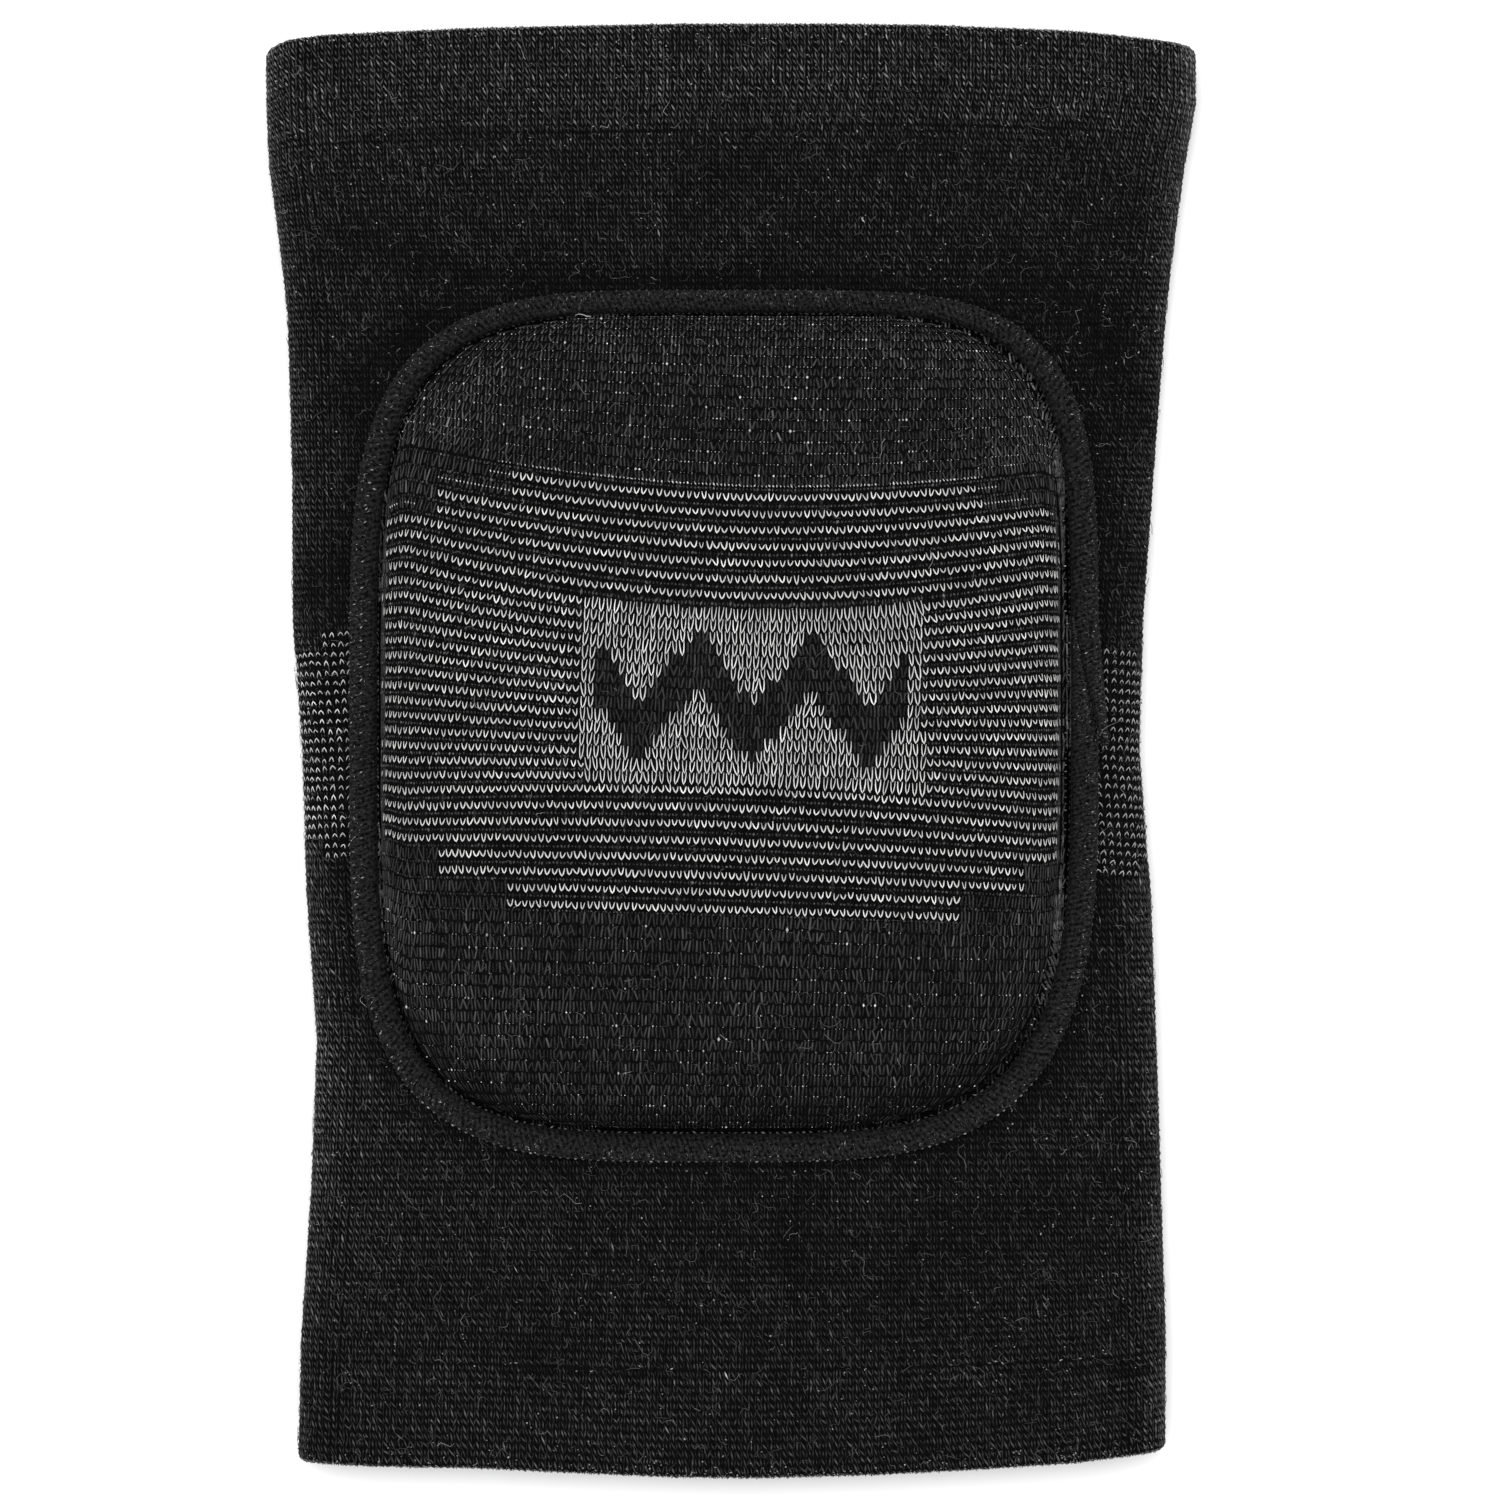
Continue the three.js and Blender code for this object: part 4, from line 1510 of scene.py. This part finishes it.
@dataclass
class CoverStitches:
    """The cover's stitches: white rows, the knitted block and the black ground."""

    knit: PadKnit
    row_loop: Loop = Loop(0.45, 1.16, 0.142, lean=0.05)
    tip: Triple = (0.15, 0.34, 0.14)
    faint_size: float = 0.68
    block_loop: Loop = Loop(0.52, 2.30, 0.130, waist=0.22, jitter=0.07)
    block_drop: float = -0.16
    loop_lift: float = 0.12
    tip_lift: float = 0.14
    row_ends: Pair = (0.42, 0.28)
    hook_share: float = 0.30
    ground: Stitch = Stitch(0.42, 0.22, 1.50, 0.190, 0.20, 0.13, 1.0, 0.12)
    lost_longer: float = 1.32
    calf_longer: float = 1.27
    calf_paler: float = 1.04
    between: Stitch = Stitch(0.42, 0.20, 1.15, 0.24, 0.13, 0.25, 1.4)
    white: Heather = Heather(0.70, 0.26)
    black: Heather = Heather(0.195, 0.42)
    shaded: Heather = Heather(0.33, 0.50)
    # Painted light and shade on the cover's black yarn: a painted highlight on the dome's
    # shoulders, painted shade at its foot at the calf end, painted light on the flange.
    shoulder_highlight: float = 0.45
    foot_shade: float = 0.40
    flange_light: float = 2.2
    zigzag_peaks: int = 3
    zigzag_rise: float = 3.2
    zigzag_half_depth: float = 2.5
    zigzag_margin: float = 0.045
    seed: int = 5

    def _crossings(self, rows: Array) -> tuple[Array, Array]:
        """All crossings of the wales with the given rows that lie on the cover."""
        reach = int(self.knit.wale_lengths[-1] / self.knit.wale) + 2
        wale, row = np.meshgrid(np.arange(-reach, reach + 1).astype(float), rows)
        inside = self.knit.within(wale.ravel(), row.ravel())
        return wale.ravel()[inside], row.ravel()[inside]

    def _zigzag(self, wale: Array, row: Array) -> Array:
        """Whether a stitch of the block belongs to its black zigzag."""
        top, bottom = self.knit.block_rows
        middle = (top + bottom) / 2
        places, lengths = self.knit.wale_places, self.knit.wale_lengths
        left, right = np.interp(self.knit.block_sides, places, lengths) / self.knit.wale
        share = (wale - left) / (right - left)
        wave = 1 - 4 * np.abs(np.mod(share * self.zigzag_peaks, 1.0) - 0.5)
        band = np.abs(row - middle - self.zigzag_rise * wave) < self.zigzag_half_depth
        inner = (share > self.zigzag_margin) & (share < 1 - self.zigzag_margin)
        return band & inner & (np.abs(row - middle) < (bottom - top) / 2 - 1.5)

    def _painted_light(self, wale: Array, row: Array) -> Array:
        """Painted light and shade on the black yarn: paler on shoulders and flange, dark at the
        calf end.
        """
        x, y = self.knit.locate(wale, row)
        share = self.knit.form.dome_share(x, y)
        calf = smoothstep(-y, 40.0, 60.0)
        shoulder = 1 + self.shoulder_highlight * smoothstep(share, 0.80, 0.96) * (1 - calf)
        foot = 1 - self.foot_shade * smoothstep(share, 0.93, 0.965) * calf
        flange = np.where(self.knit.inside(wale, row) | (calf > 0.5), 1.0, self.flange_light)
        return shoulder * foot * flange

    def _add_tips(self, heap: Heap, seats: Seats, faint: Array, dye: Dye, rng: Random) -> None:
        """Adds the tips of yarn that show of a white row, smaller ones where the row is faint."""
        count = len(seats)
        sizes = varied(rng, self.tip, 0.22, count, 0.4)
        sizes *= np.where(faint, self.faint_size, 1.0)[:, None]
        heap.add(SHARP_GRAIN, seats.turned(rng.normal(0.35, 0.25, count)), sizes, dye(count))

    def _add_ground(
        self, heap: Heap, wale: Array, row: Array, longer: float, paler: float, rng: Random
    ) -> None:
        """Adds black stitches on crossings, with longer legs and paler yarn by the shares given."""
        # Tints carry the cover's painted light and shade.
        dye = self.black.tints(rng, self._painted_light(wale, row) * paler)
        stitch = replace(self.ground, length=self.ground.length * longer)
        stitch.knit(heap, STRAND, self.knit.seats(wale, row), dye, rng)

    def build(self) -> list[bpy.types.Object]:
        """Builds the stitches of each yarn as a piece of its own."""
        knit, rng = self.knit, np.random.default_rng(self.seed)
        top, bottom = knit.block_rows
        wale, row = self._crossings(np.concatenate([[0.25], np.arange(1, knit.last + 1)]))
        x, _ = knit.locate(wale, row)
        left, right = knit.block_sides
        block = (row > top + 0.4) & (row < bottom - 0.4) & (x > left) & (x < right)
        figure = block & self._zigzag(wale, row)
        inside = knit.inside(wale, row)
        upright = np.abs(knit.seats(wale, row).outward[:, 2])
        row_end = np.where(x < 0, *self.row_ends)
        hooks = rng.random(len(wale)) < self.hook_share * (upright > row_end / 2)
        reached = knit.is_white(row, x) & ~block & inside & ((upright > row_end) | hooks)
        faint = knit.is_faint(row, x) & inside & (rng.random(len(wale)) < upright)
        thin = (reached & (row < 0.9)) | faint
        white, black = Heap(), Heap()
        white_dye = self.white.tints(rng)
        for loop, mask, drop in (
            (self.row_loop, reached & ~thin, 0.0),
            (self.block_loop, block & ~figure, self.block_drop),
        ):
            seats = knit.seats(wale[mask], row[mask]).shifted(0.0, drop, self.loop_lift)
            loop.knit(white, seats, white_dye, rng)
        for step in (-0.25, 0.25):
            seats = knit.seats(wale[thin] + step, row[thin]).shifted(0.0, 0.0, self.tip_lift)
            self._add_tips(white, seats, faint[thin], white_dye, rng)
        lost = ~reached & ~(block & ~figure) & (row > 0.9)
        self._add_ground(black, wale[lost], row[lost], self.lost_longer, 1.0, rng)
        wale, row = self._crossings(np.arange(0, knit.last + 1) + 0.5)
        in_block = knit.block_mask(row, knit.locate(wale, row)[0]) >= 0.5
        open_ground = ~in_block | (row == top + 0.5)
        seats = knit.seats(wale[open_ground], row[open_ground])
        self.between.knit(black, SHARP_GRAIN, seats, self.shaded.tints(rng), rng)
        upper, lower = knit.rows[knit.rows < 0.5], knit.rows[knit.rows > knit.last + 0.5]
        self._add_ground(black, *self._crossings(upper), 1.0, 1.0, rng)
        self._add_ground(black, *self._crossings(lower), self.calf_longer, self.calf_paler, rng)
        return [
            white.piece("cover_white_stitches", WHITE_YARN, Slot.COVER),
            black.piece("cover_black_stitches", BLACK_YARN, Slot.COVER),
        ]


@dataclass
class CoverSpecks:
    """Tips of the white yarn that peep out between the black rows."""

    knit: PadKnit
    upper_share: float = 0.68
    lower_share: float = 0.30
    size: Triple = (0.112, 0.18, 0.11)
    lift: float = 0.17
    seed: int = 23

    def build(self) -> bpy.types.Object:
        """Builds all the specks as one piece."""
        knit, rng = self.knit, np.random.default_rng(self.seed)
        reach = int(knit.wale_lengths[-1] / knit.wale) * 2
        rows = np.concatenate([knit.rows[knit.rows < 0], knit.rows[knit.rows > knit.last]]) + 0.5
        wale, row = np.meshgrid(np.arange(-reach, reach + 1) / 2 + 0.25, rows)
        wale, row = wale.ravel(), row.ravel()
        run = np.sin(wale * 0.31 + row * 2.1) * np.sin(wale * 0.083 - row * 1.3 + 1.0)
        run = 0.5 + 0.5 * run
        upper, lower = self.upper_share * (0.6 + 0.5 * run), self.lower_share * 1.6 * run
        keep = knit.inside(wale, row) & (rng.random(len(wale)) < np.where(row < 0, upper, lower))
        seats = knit.seats(wale[keep], row[keep]).shifted(0.0, 0.0, self.lift)
        count = len(seats)
        heap = Heap()
        sizes = np.array(self.size) * rng.lognormal(-0.2, 0.38, (count, 1))
        sizes = sizes * rng.normal(1, 0.15, (count, 3))
        heap.add(SHARP_GRAIN, seats, sizes, rng.normal(0.25, 0.5, count).clip(0, 1))
        return heap.piece("cover_white_specks", WHITE_YARN, Slot.COVER)


@dataclass
class EdgeTape:
    """The tape sewn round the cover, whose last end passes outside its first."""

    form: PadForm
    width: float = 4.9
    top_width: float = 4.02
    thickness: float = 2.3
    clearance: float = 0.3
    gap: float = 0.55
    scarf_length: float = 23.0
    scarf_from_knee: float = 19.0
    end_bulge: float = 1.9
    tip: float = 0.5
    stations: int = 700
    section: tuple[Pair, ...] = (
        (0.0, 0.0), (0.0, 0.40), (0.05, 0.72), (0.14, 0.90), (0.28, 0.98), (0.42, 0.93),
        (0.5, 0.95), (0.62, 1.0), (0.78, 0.95), (0.90, 0.80), (0.97, 0.5), (1.0, 0.25), (1.0, 0.0),
    )
    chart_size: Pair = (69.0, 7.0)

    def start(self) -> float:
        """Angle at which the tape starts, from the pad's middle."""
        return math.atan2(self.scarf_from_knee, self.form.half_width)

    def scarf_turn(self) -> float:
        """Angle over which both ends lie side by side."""
        end = math.atan2(self.scarf_from_knee - self.scarf_length, self.form.half_width)
        return self.start() - end

    def whole_turn(self) -> float:
        """Angle from the tape's first end to its last."""
        return 2 * math.pi + self.scarf_turn()

    def place(self, turned: Array, across: Array, up: Array) -> Array:
        """Points of the tape.

        Args:
            turned: Angle run from the start.
            across: Share of the width, from the cover outwards.
            up: Share of the thickness.

        Returns:
            The points.
        """
        point, outward = self.form.outline(self.start() - turned)
        over_thigh = np.maximum(0, outward[..., 1]) ** 2
        width = self.width + (self.top_width - self.width) * over_thigh
        first = np.clip(turned / self.scarf_turn(), 0, 1)
        last = np.clip((turned - 2 * math.pi) / self.scarf_turn(), 0, 1)
        inner = self.clearance + last * (width + self.gap)
        outer = self.clearance + self.tip + (width - self.tip) * first + last * self.end_bulge
        offset = inner + (outer - inner) * across
        flat = point + outward * offset[..., None]
        return np.concatenate([flat, (self.form.foot + self.thickness * up)[..., None]], axis=-1)

    def build(self) -> bpy.types.Object:
        """Builds the tape in place of its solid."""
        across, up = np.array(self.section).T
        steps = np.linspace(0, 1, len(across))
        whole = self.whole_turn()

        def place(share: Array, around: Array) -> Array:
            """Points for shares of the length and of the way round the section."""
            section = np.interp(around, steps, across), np.interp(around, steps, up)
            return self.place(share * whole, *section)

        def chart(share: Array, around: Array) -> Array:
            """Millimetres along and across for the same shares."""
            length, girth = self.chart_size
            return np.stack([share * whole * length, around * girth], axis=-1)

        grid = skin("tape_skin", (self.stations, len(across) - 1), place, chart)
        open_edges = [edge for edge in grid.edges if edge.is_boundary]
        bmesh.ops.bridge_loops(grid, edges=[edge for edge in open_edges if self._along(edge)])
        piece = add_piece("edge_tape", close_skin(grid, "tape"), BLACK_TAPE.make(), Slot.TAPE)
        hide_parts("edge_binding")
        return piece

    def _along(self, edge: bmesh.types.BMEdge) -> bool:
        """Whether an open edge runs along the tape's foot, not round its end."""
        low = self.form.foot * MM + 1e-6
        return all(corner.co.z < low for corner in edge.verts)


@dataclass
class SeamStitches:
    """Threads that hold the tape and the hems, and the specks caught in the tape.

    Sizes of threads are half sizes across, along and outwards.
    """

    tape: EdgeTape
    sleeve: SleeveForm
    fuzz: int = 8000
    fuzz_size: Triple = (0.085, 0.36, 0.07)
    seam_size: Triple = (0.19, 0.46, 0.16)
    side_size: Triple = (0.15, 0.32, 0.14)
    bead_size: Triple = (0.34, 0.20, 0.22)
    dash_size: Triple = (0.15, 0.42, 0.14)
    speck_size: Triple = (0.10, 0.24, 0.10)
    hem_size: Triple = (0.15, 0.45, 0.14)
    hem_pitch: float = 1.12
    seed: int = 31

    def _along_tape(self, pitch: float, across: float, up: float) -> tuple[Seats, Array]:
        """Seats every few millimetres along the tape, and the directions that face out there.

        Args:
            pitch: Distance between the seats.
            across: Share of the tape's width.
            up: Share of its thickness.

        Returns:
            The seats and the directions.
        """
        turned = np.linspace(0, self.tape.whole_turn(), 4001)
        points = self.tape.place(turned, 0 * turned + across, 0 * turned + up)
        lengths = np.concatenate([[0], np.cumsum(np.linalg.norm(np.diff(points, axis=0), axis=1))])
        spots = np.interp(np.arange(0, lengths[-1], pitch), lengths, turned)

        def place(first: Array, second: Array) -> Array:
            """Points for angles and for shares beside the line."""
            return self.tape.place(first, second + across, 0 * first + up)

        seats = self._upright(seats_on(place, spots, 0 * spots, (0.002, 0.02)))
        return seats, self.tape.form.outline(self.tape.start() - spots)[1]

    def _upright(self, seats: Seats) -> Seats:
        """The seats, with those turned over whose outward direction points down."""
        flip = np.sign(seats.outward[:, 2:])
        return Seats(seats.origin, seats.across, seats.along * flip, seats.outward * flip)

    def _add_fuzz(self, heap: Heap, rng: Random) -> None:
        """Adds the short fibres across the tape, paler at its outer side as painted light, darker
        at its inner side as painted shade.
        """
        tape, count = self.tape, self.fuzz
        section_across, section_up = zip(*tape.section[1:-1])

        def place(first: Array, second: Array) -> Array:
            """Points for angles and shares of the width."""
            return tape.place(first, second, np.interp(second, section_across, section_up))

        spots = rng.uniform(0, tape.whole_turn(), count)
        across = rng.uniform(0.06, 0.96, count)
        seats = self._upright(seats_on(place, spots, across, (0.002, 0.02)))
        seats = seats.turned(rng.normal(0, 0.5, count)).shifted(0.0, 0.0, 0.03)
        sizes = varied(rng, self.fuzz_size, 0.3, count, 0.4, 1.8)
        # Tints rise outwards across the tape: painted light on its outer side, painted shade by the
        # dome.
        heap.add(SMALL_GRAIN, seats, sizes, (0.06 + 0.38 * across) * rng.lognormal(0, 0.7, count))

    def _add_inner_seam(self, heap: Heap, rng: Random) -> None:
        """Adds the seam inside the tape, paler at the calf end, and the thread at its right."""
        seats, out = self._along_tape(1.22, -0.06, 0.72)
        count = len(seats)
        tone = np.where(out[:, 1] < -0.75, 0.42, 0.16)
        seats = seats.turned(rng.normal(math.pi / 2, 0.35, count))
        seats = seats.shifted(0.0, rng.normal(0, 0.12, count), 0.0)
        sizes = varied(rng, self.seam_size, 0.2, count)
        heap.add(SHARP_GRAIN, seats, sizes, tone * rng.lognormal(0, 0.5, count).clip(0, 2.5))
        seats, out = self._along_tape(1.15, -0.20, 0.30)
        right = (out[:, 0] > 0.7) & (rng.random(len(seats)) < 0.75)
        tints = rng.lognormal(math.log(0.7), 0.6, right.sum()).clip(0, 1.8)
        heap.add(SHARP_GRAIN, seats.chosen(right), self.side_size, tints)

    def _add_tape_threads(self, heap: Heap, rng: Random) -> None:
        """Adds the beads outside the tape, the dashes at its left and the specks along it."""
        seats, out = self._along_tape(1.35, 1.0, 0.42)
        tone = np.where(out[:, 1] < -0.6, 0.8, 0.25)
        tints = tone * rng.lognormal(0, 0.5, len(seats))
        heap.add(SHARP_GRAIN, seats, self.bead_size, tints.clip(0, 1.7))
        for across, low, high in ((0.56, -25.0, 75.0), (0.86, -75.0, -15.0)):
            seats, out = self._along_tape(2.35, across, 0.97)
            at = seats.origin[:, 1]
            left = (out[:, 0] < -0.75) & (at > low) & (at < high) & (rng.random(len(seats)) < 0.9)
            count = left.sum()
            seats = seats.chosen(left).turned(rng.normal(0.5, 0.35, count)).shifted(0.0, 0.0, 0.08)
            heap.add(SHARP_GRAIN, seats, self.dash_size, rng.uniform(0.5, 1.5, count))
        seats, _ = self._along_tape(2.7, 0.80, 0.98)
        shown = rng.random(len(seats)) < 0.55
        count = shown.sum()
        seats = seats.chosen(shown).turned(rng.normal(1.2, 0.5, count))
        heap.add(SHARP_GRAIN, seats, self.speck_size, rng.uniform(0.4, 1.5, count))

    def _add_hem_threads(self, heap: Heap, rng: Random) -> None:
        """Adds the threads in the grooves of both hems, where the grooves show."""
        form = self.sleeve
        turn = np.arange(0.005, 0.43, self.hem_pitch / 310)
        for end, tilt in ((1, form.thigh_seam_tilt), (-1, 0.0)):
            x = form.place(turn, end * 111.0 + 0 * turn)[:, 0]
            y = end * (form.half_length - form.hem_depth) + tilt * x / form.half_width
            seats = tube_seats(form.place, turn, y)
            count = len(seats)
            seats = seats.shifted(0.0, rng.normal(-0.5 * end, 0.2, count), 0.1)
            seats = seats.turned(rng.normal(1.2, 0.4, count))
            pale = rng.random(count) < np.where(end < 0, 0.12 + 0.25 * (x > 30), 0.06)
            tints = np.where(pale, rng.uniform(0.9, 1.6, count), rng.uniform(0.0, 0.3, count))
            kept = rng.random(count) < 0.9 * form.line_shown(x, y)
            heap.add(SHARP_GRAIN, seats.chosen(kept), self.hem_size, tints[kept])

    def _add_loose_ends(self, heap: Heap) -> None:
        """Adds the two loose thread ends that show: beside the tape's tip and at the pad's top."""
        across, along, up = np.eye(3)[:, None]
        for place, angle, half, sweep, tint in (
            ((67.3, 4.3, 12.6), -0.95, 2.3, 0.5, 0.75),
            ((-26.4, 77.6, 12.4), 1.5, 1.4, -0.2, 1.9),
        ):
            seat = Seats(np.array([place]), across, along, up).turned(np.array([angle]))
            heap.add(FIBRE, seat, (0.11, half, 0.11), tint, np.array([[sweep, 0.15, 0.25]]))

    def build(self) -> bpy.types.Object:
        """Builds all the threads as one piece."""
        rng = np.random.default_rng(self.seed)
        heap = Heap()
        self._add_fuzz(heap, rng)
        self._add_inner_seam(heap, rng)
        self._add_tape_threads(heap, rng)
        self._add_hem_threads(heap, rng)
        self._add_loose_ends(heap)
        return heap.piece("seam_threads", BLACK_YARN, Slot.TAPE)


@dataclass
class Lint:
    """Loose fibres of the yarn that lie curled on the knitting."""

    sleeve: SleeveForm
    knit: PadKnit
    sleeve_count: int = 6600
    cover_count: int = 1300
    mouth_count: int = 420
    mouth_reach: float = 1.1
    radius: float = 0.058
    length: float = 1.5
    tint: float = 0.25
    speck: Triple = (0.13, 0.19, 0.12)
    lift: float = 0.20
    speck_lift: float = 0.18
    rim: float = 1.5
    seed: int = 41

    def _curled(self, heap: Heap, seats: Seats, rng: Random) -> None:
        """Adds a curled fibre on each seat."""
        count = len(seats)
        length = rng.lognormal(math.log(self.length), 0.45, count).clip(0.6, 4.5)
        thick = self.radius * rng.normal(1, 0.2, count).clip(0.6, 1.5)
        sizes = np.stack([thick, length / 2, thick], axis=1)
        sweep, wave = rng.normal(0, 0.30, count), rng.normal(0, 0.13, count)
        arch = rng.uniform(0.0, 0.10, count)
        curls = np.stack([sweep * length, wave * length, arch * length], axis=1)
        turned = seats.turned(rng.uniform(0, 2 * math.pi, count)).shifted(0.0, 0.0, self.lift)
        tints = rng.lognormal(math.log(self.tint), 0.70, count).clip(0, 1.5)
        heap.add(FIBRE, turned, sizes, tints, curls)

    def _specks(self, heap: Heap, seats: Seats, rng: Random) -> None:
        """Adds a small bright speck of lint on each seat."""
        count = len(seats)
        sizes = varied(rng, self.speck, 0.25, count, 0.5, 1.6)
        turned = seats.turned(rng.uniform(0, math.pi, count)).shifted(0.0, 0.0, self.speck_lift)
        heap.add(SHARP_GRAIN, turned, sizes, rng.uniform(0.5, 1.8, count))

    def build(self) -> list[bpy.types.Object]:
        """Builds the fibres on the sleeve and on the cover as two pieces."""
        rng = np.random.default_rng(self.seed)
        form = self.sleeve
        turn = rng.uniform(-0.05, 0.49, self.sleeve_count)
        end = form.half_length - self.rim
        seats = tube_seats(form.place, turn, rng.uniform(-end, end, self.sleeve_count))
        seats = seats.chosen(~form.under_pad(seats, 0.99))
        on_sleeve, on_cover = Heap(), Heap()
        is_speck = np.arange(len(seats)) % 3 == 0
        self._curled(on_sleeve, seats.chosen(~is_speck), rng)
        self._specks(on_sleeve, seats.chosen(is_speck), rng)
        for end in (1, -1):
            turn = rng.uniform(-0.03, 0.47, self.mouth_count)
            inwards = rng.exponential(self.mouth_reach, self.mouth_count)
            way = end * (form.half_length + 0.4 - inwards)
            self._specks(on_sleeve, tube_seats(form.face, turn, way), rng)
        reach = self.knit.wale_lengths[-1] / self.knit.wale
        wale = rng.uniform(-reach, reach, self.cover_count)
        row = rng.uniform(self.knit.rows[0], self.knit.rows[-1], self.cover_count)
        inside = self.knit.inside(wale, row)
        self._curled(on_cover, self.knit.seats(wale[inside], row[inside]), rng)
        return [
            on_sleeve.piece("sleeve_lint", GREY_LINT, Slot.SLEEVE),
            on_cover.piece("cover_lint", GREY_LINT, Slot.COVER),
        ]


@dataclass
class Studio:
    """Pale floor, soft lights and the camera straight above the knee pad."""

    distance: float = 1.2
    level: float = 0.010
    offset: float = 0.0034
    frame_width: float = 0.26804
    sensor: float = 36.0
    floor_size: float = 4.0
    floor_drop: float = 0.0003

    def add_camera(self) -> None:
        """Adds the camera at the photograph's angle."""
        data = bpy.data.cameras.new("camera")
        data.sensor_width = self.sensor
        data.lens = self.sensor * self.distance / self.frame_width
        data.clip_start, data.clip_end = 0.05, 20.0
        camera = bpy.data.objects.new("camera", data)
        camera.location = (self.offset, 0.0, self.level + self.distance)
        bpy.context.scene.collection.objects.link(camera)
        bpy.context.scene.camera = camera

    def add_floor(self) -> None:
        """Adds the floor."""
        grid = bmesh.new()
        bmesh.ops.create_grid(grid, x_segments=2, y_segments=2, size=self.floor_size)
        bmesh.ops.translate(grid, verts=grid.verts[:], vec=(0.0, 0.0, -self.floor_drop))
        mesh = bpy.data.meshes.new("floor")
        grid.to_mesh(mesh)
        grid.free()
        mesh.materials.append(FloorFinish().make())
        floor = bpy.data.objects.new("floor", mesh)
        bpy.context.scene.collection.objects.link(floor)

    def add_light(self, name: str, place: Triple, size: float, watts: float) -> None:
        """Adds a square soft light that faces the knee pad.

        Args:
            name: The light's name.
            place: Where it stands, in metres.
            size: Its width.
            watts: Its power.
        """
        data = bpy.data.lights.new(name, "AREA")
        data.size, data.energy = size, watts
        light = bpy.data.objects.new(name, data)
        light.location = place
        light.rotation_mode = "QUATERNION"
        light.rotation_quaternion = (-Vector(place)).to_track_quat("-Z", "Y")
        bpy.context.scene.collection.objects.link(light)

    def build(self) -> None:
        """Sets up the whole studio."""
        scene = bpy.context.scene
        scene.view_settings.view_transform = "Standard"
        world = bpy.data.worlds.new("soft_room")
        world.use_nodes = True
        background = world.node_tree.nodes["Background"]
        background.inputs["Color"].default_value = (1.0, 1.0, 1.0, 1.0)
        background.inputs["Strength"].default_value = 1.0
        scene.world = world
        self.add_camera()
        self.add_floor()
        self.add_light("key", (-0.12, 0.32, 1.50), 1.2, 18.0)


def main() -> None:
    """Builds the knee pad piece by piece around its solids."""
    logging.basicConfig(level=logging.INFO, format="%(name)s %(message)s")
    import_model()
    Studio().build()
    sleeve_form, pad_form = SleeveForm(), PadForm()
    knit = PadKnit(pad_form)
    tape = EdgeTape(pad_form)
    Sleeve(sleeve_form).build()
    PadCover(knit).build()
    tape.build()
    SleeveStitches(sleeve_form).build()
    SleeveStripes(sleeve_form).build()
    CoverStitches(knit).build()
    CoverSpecks(knit).build()
    SeamStitches(tape, sleeve_form).build()
    Lint(sleeve_form, knit).build()


if __name__ == "__main__":
    main()
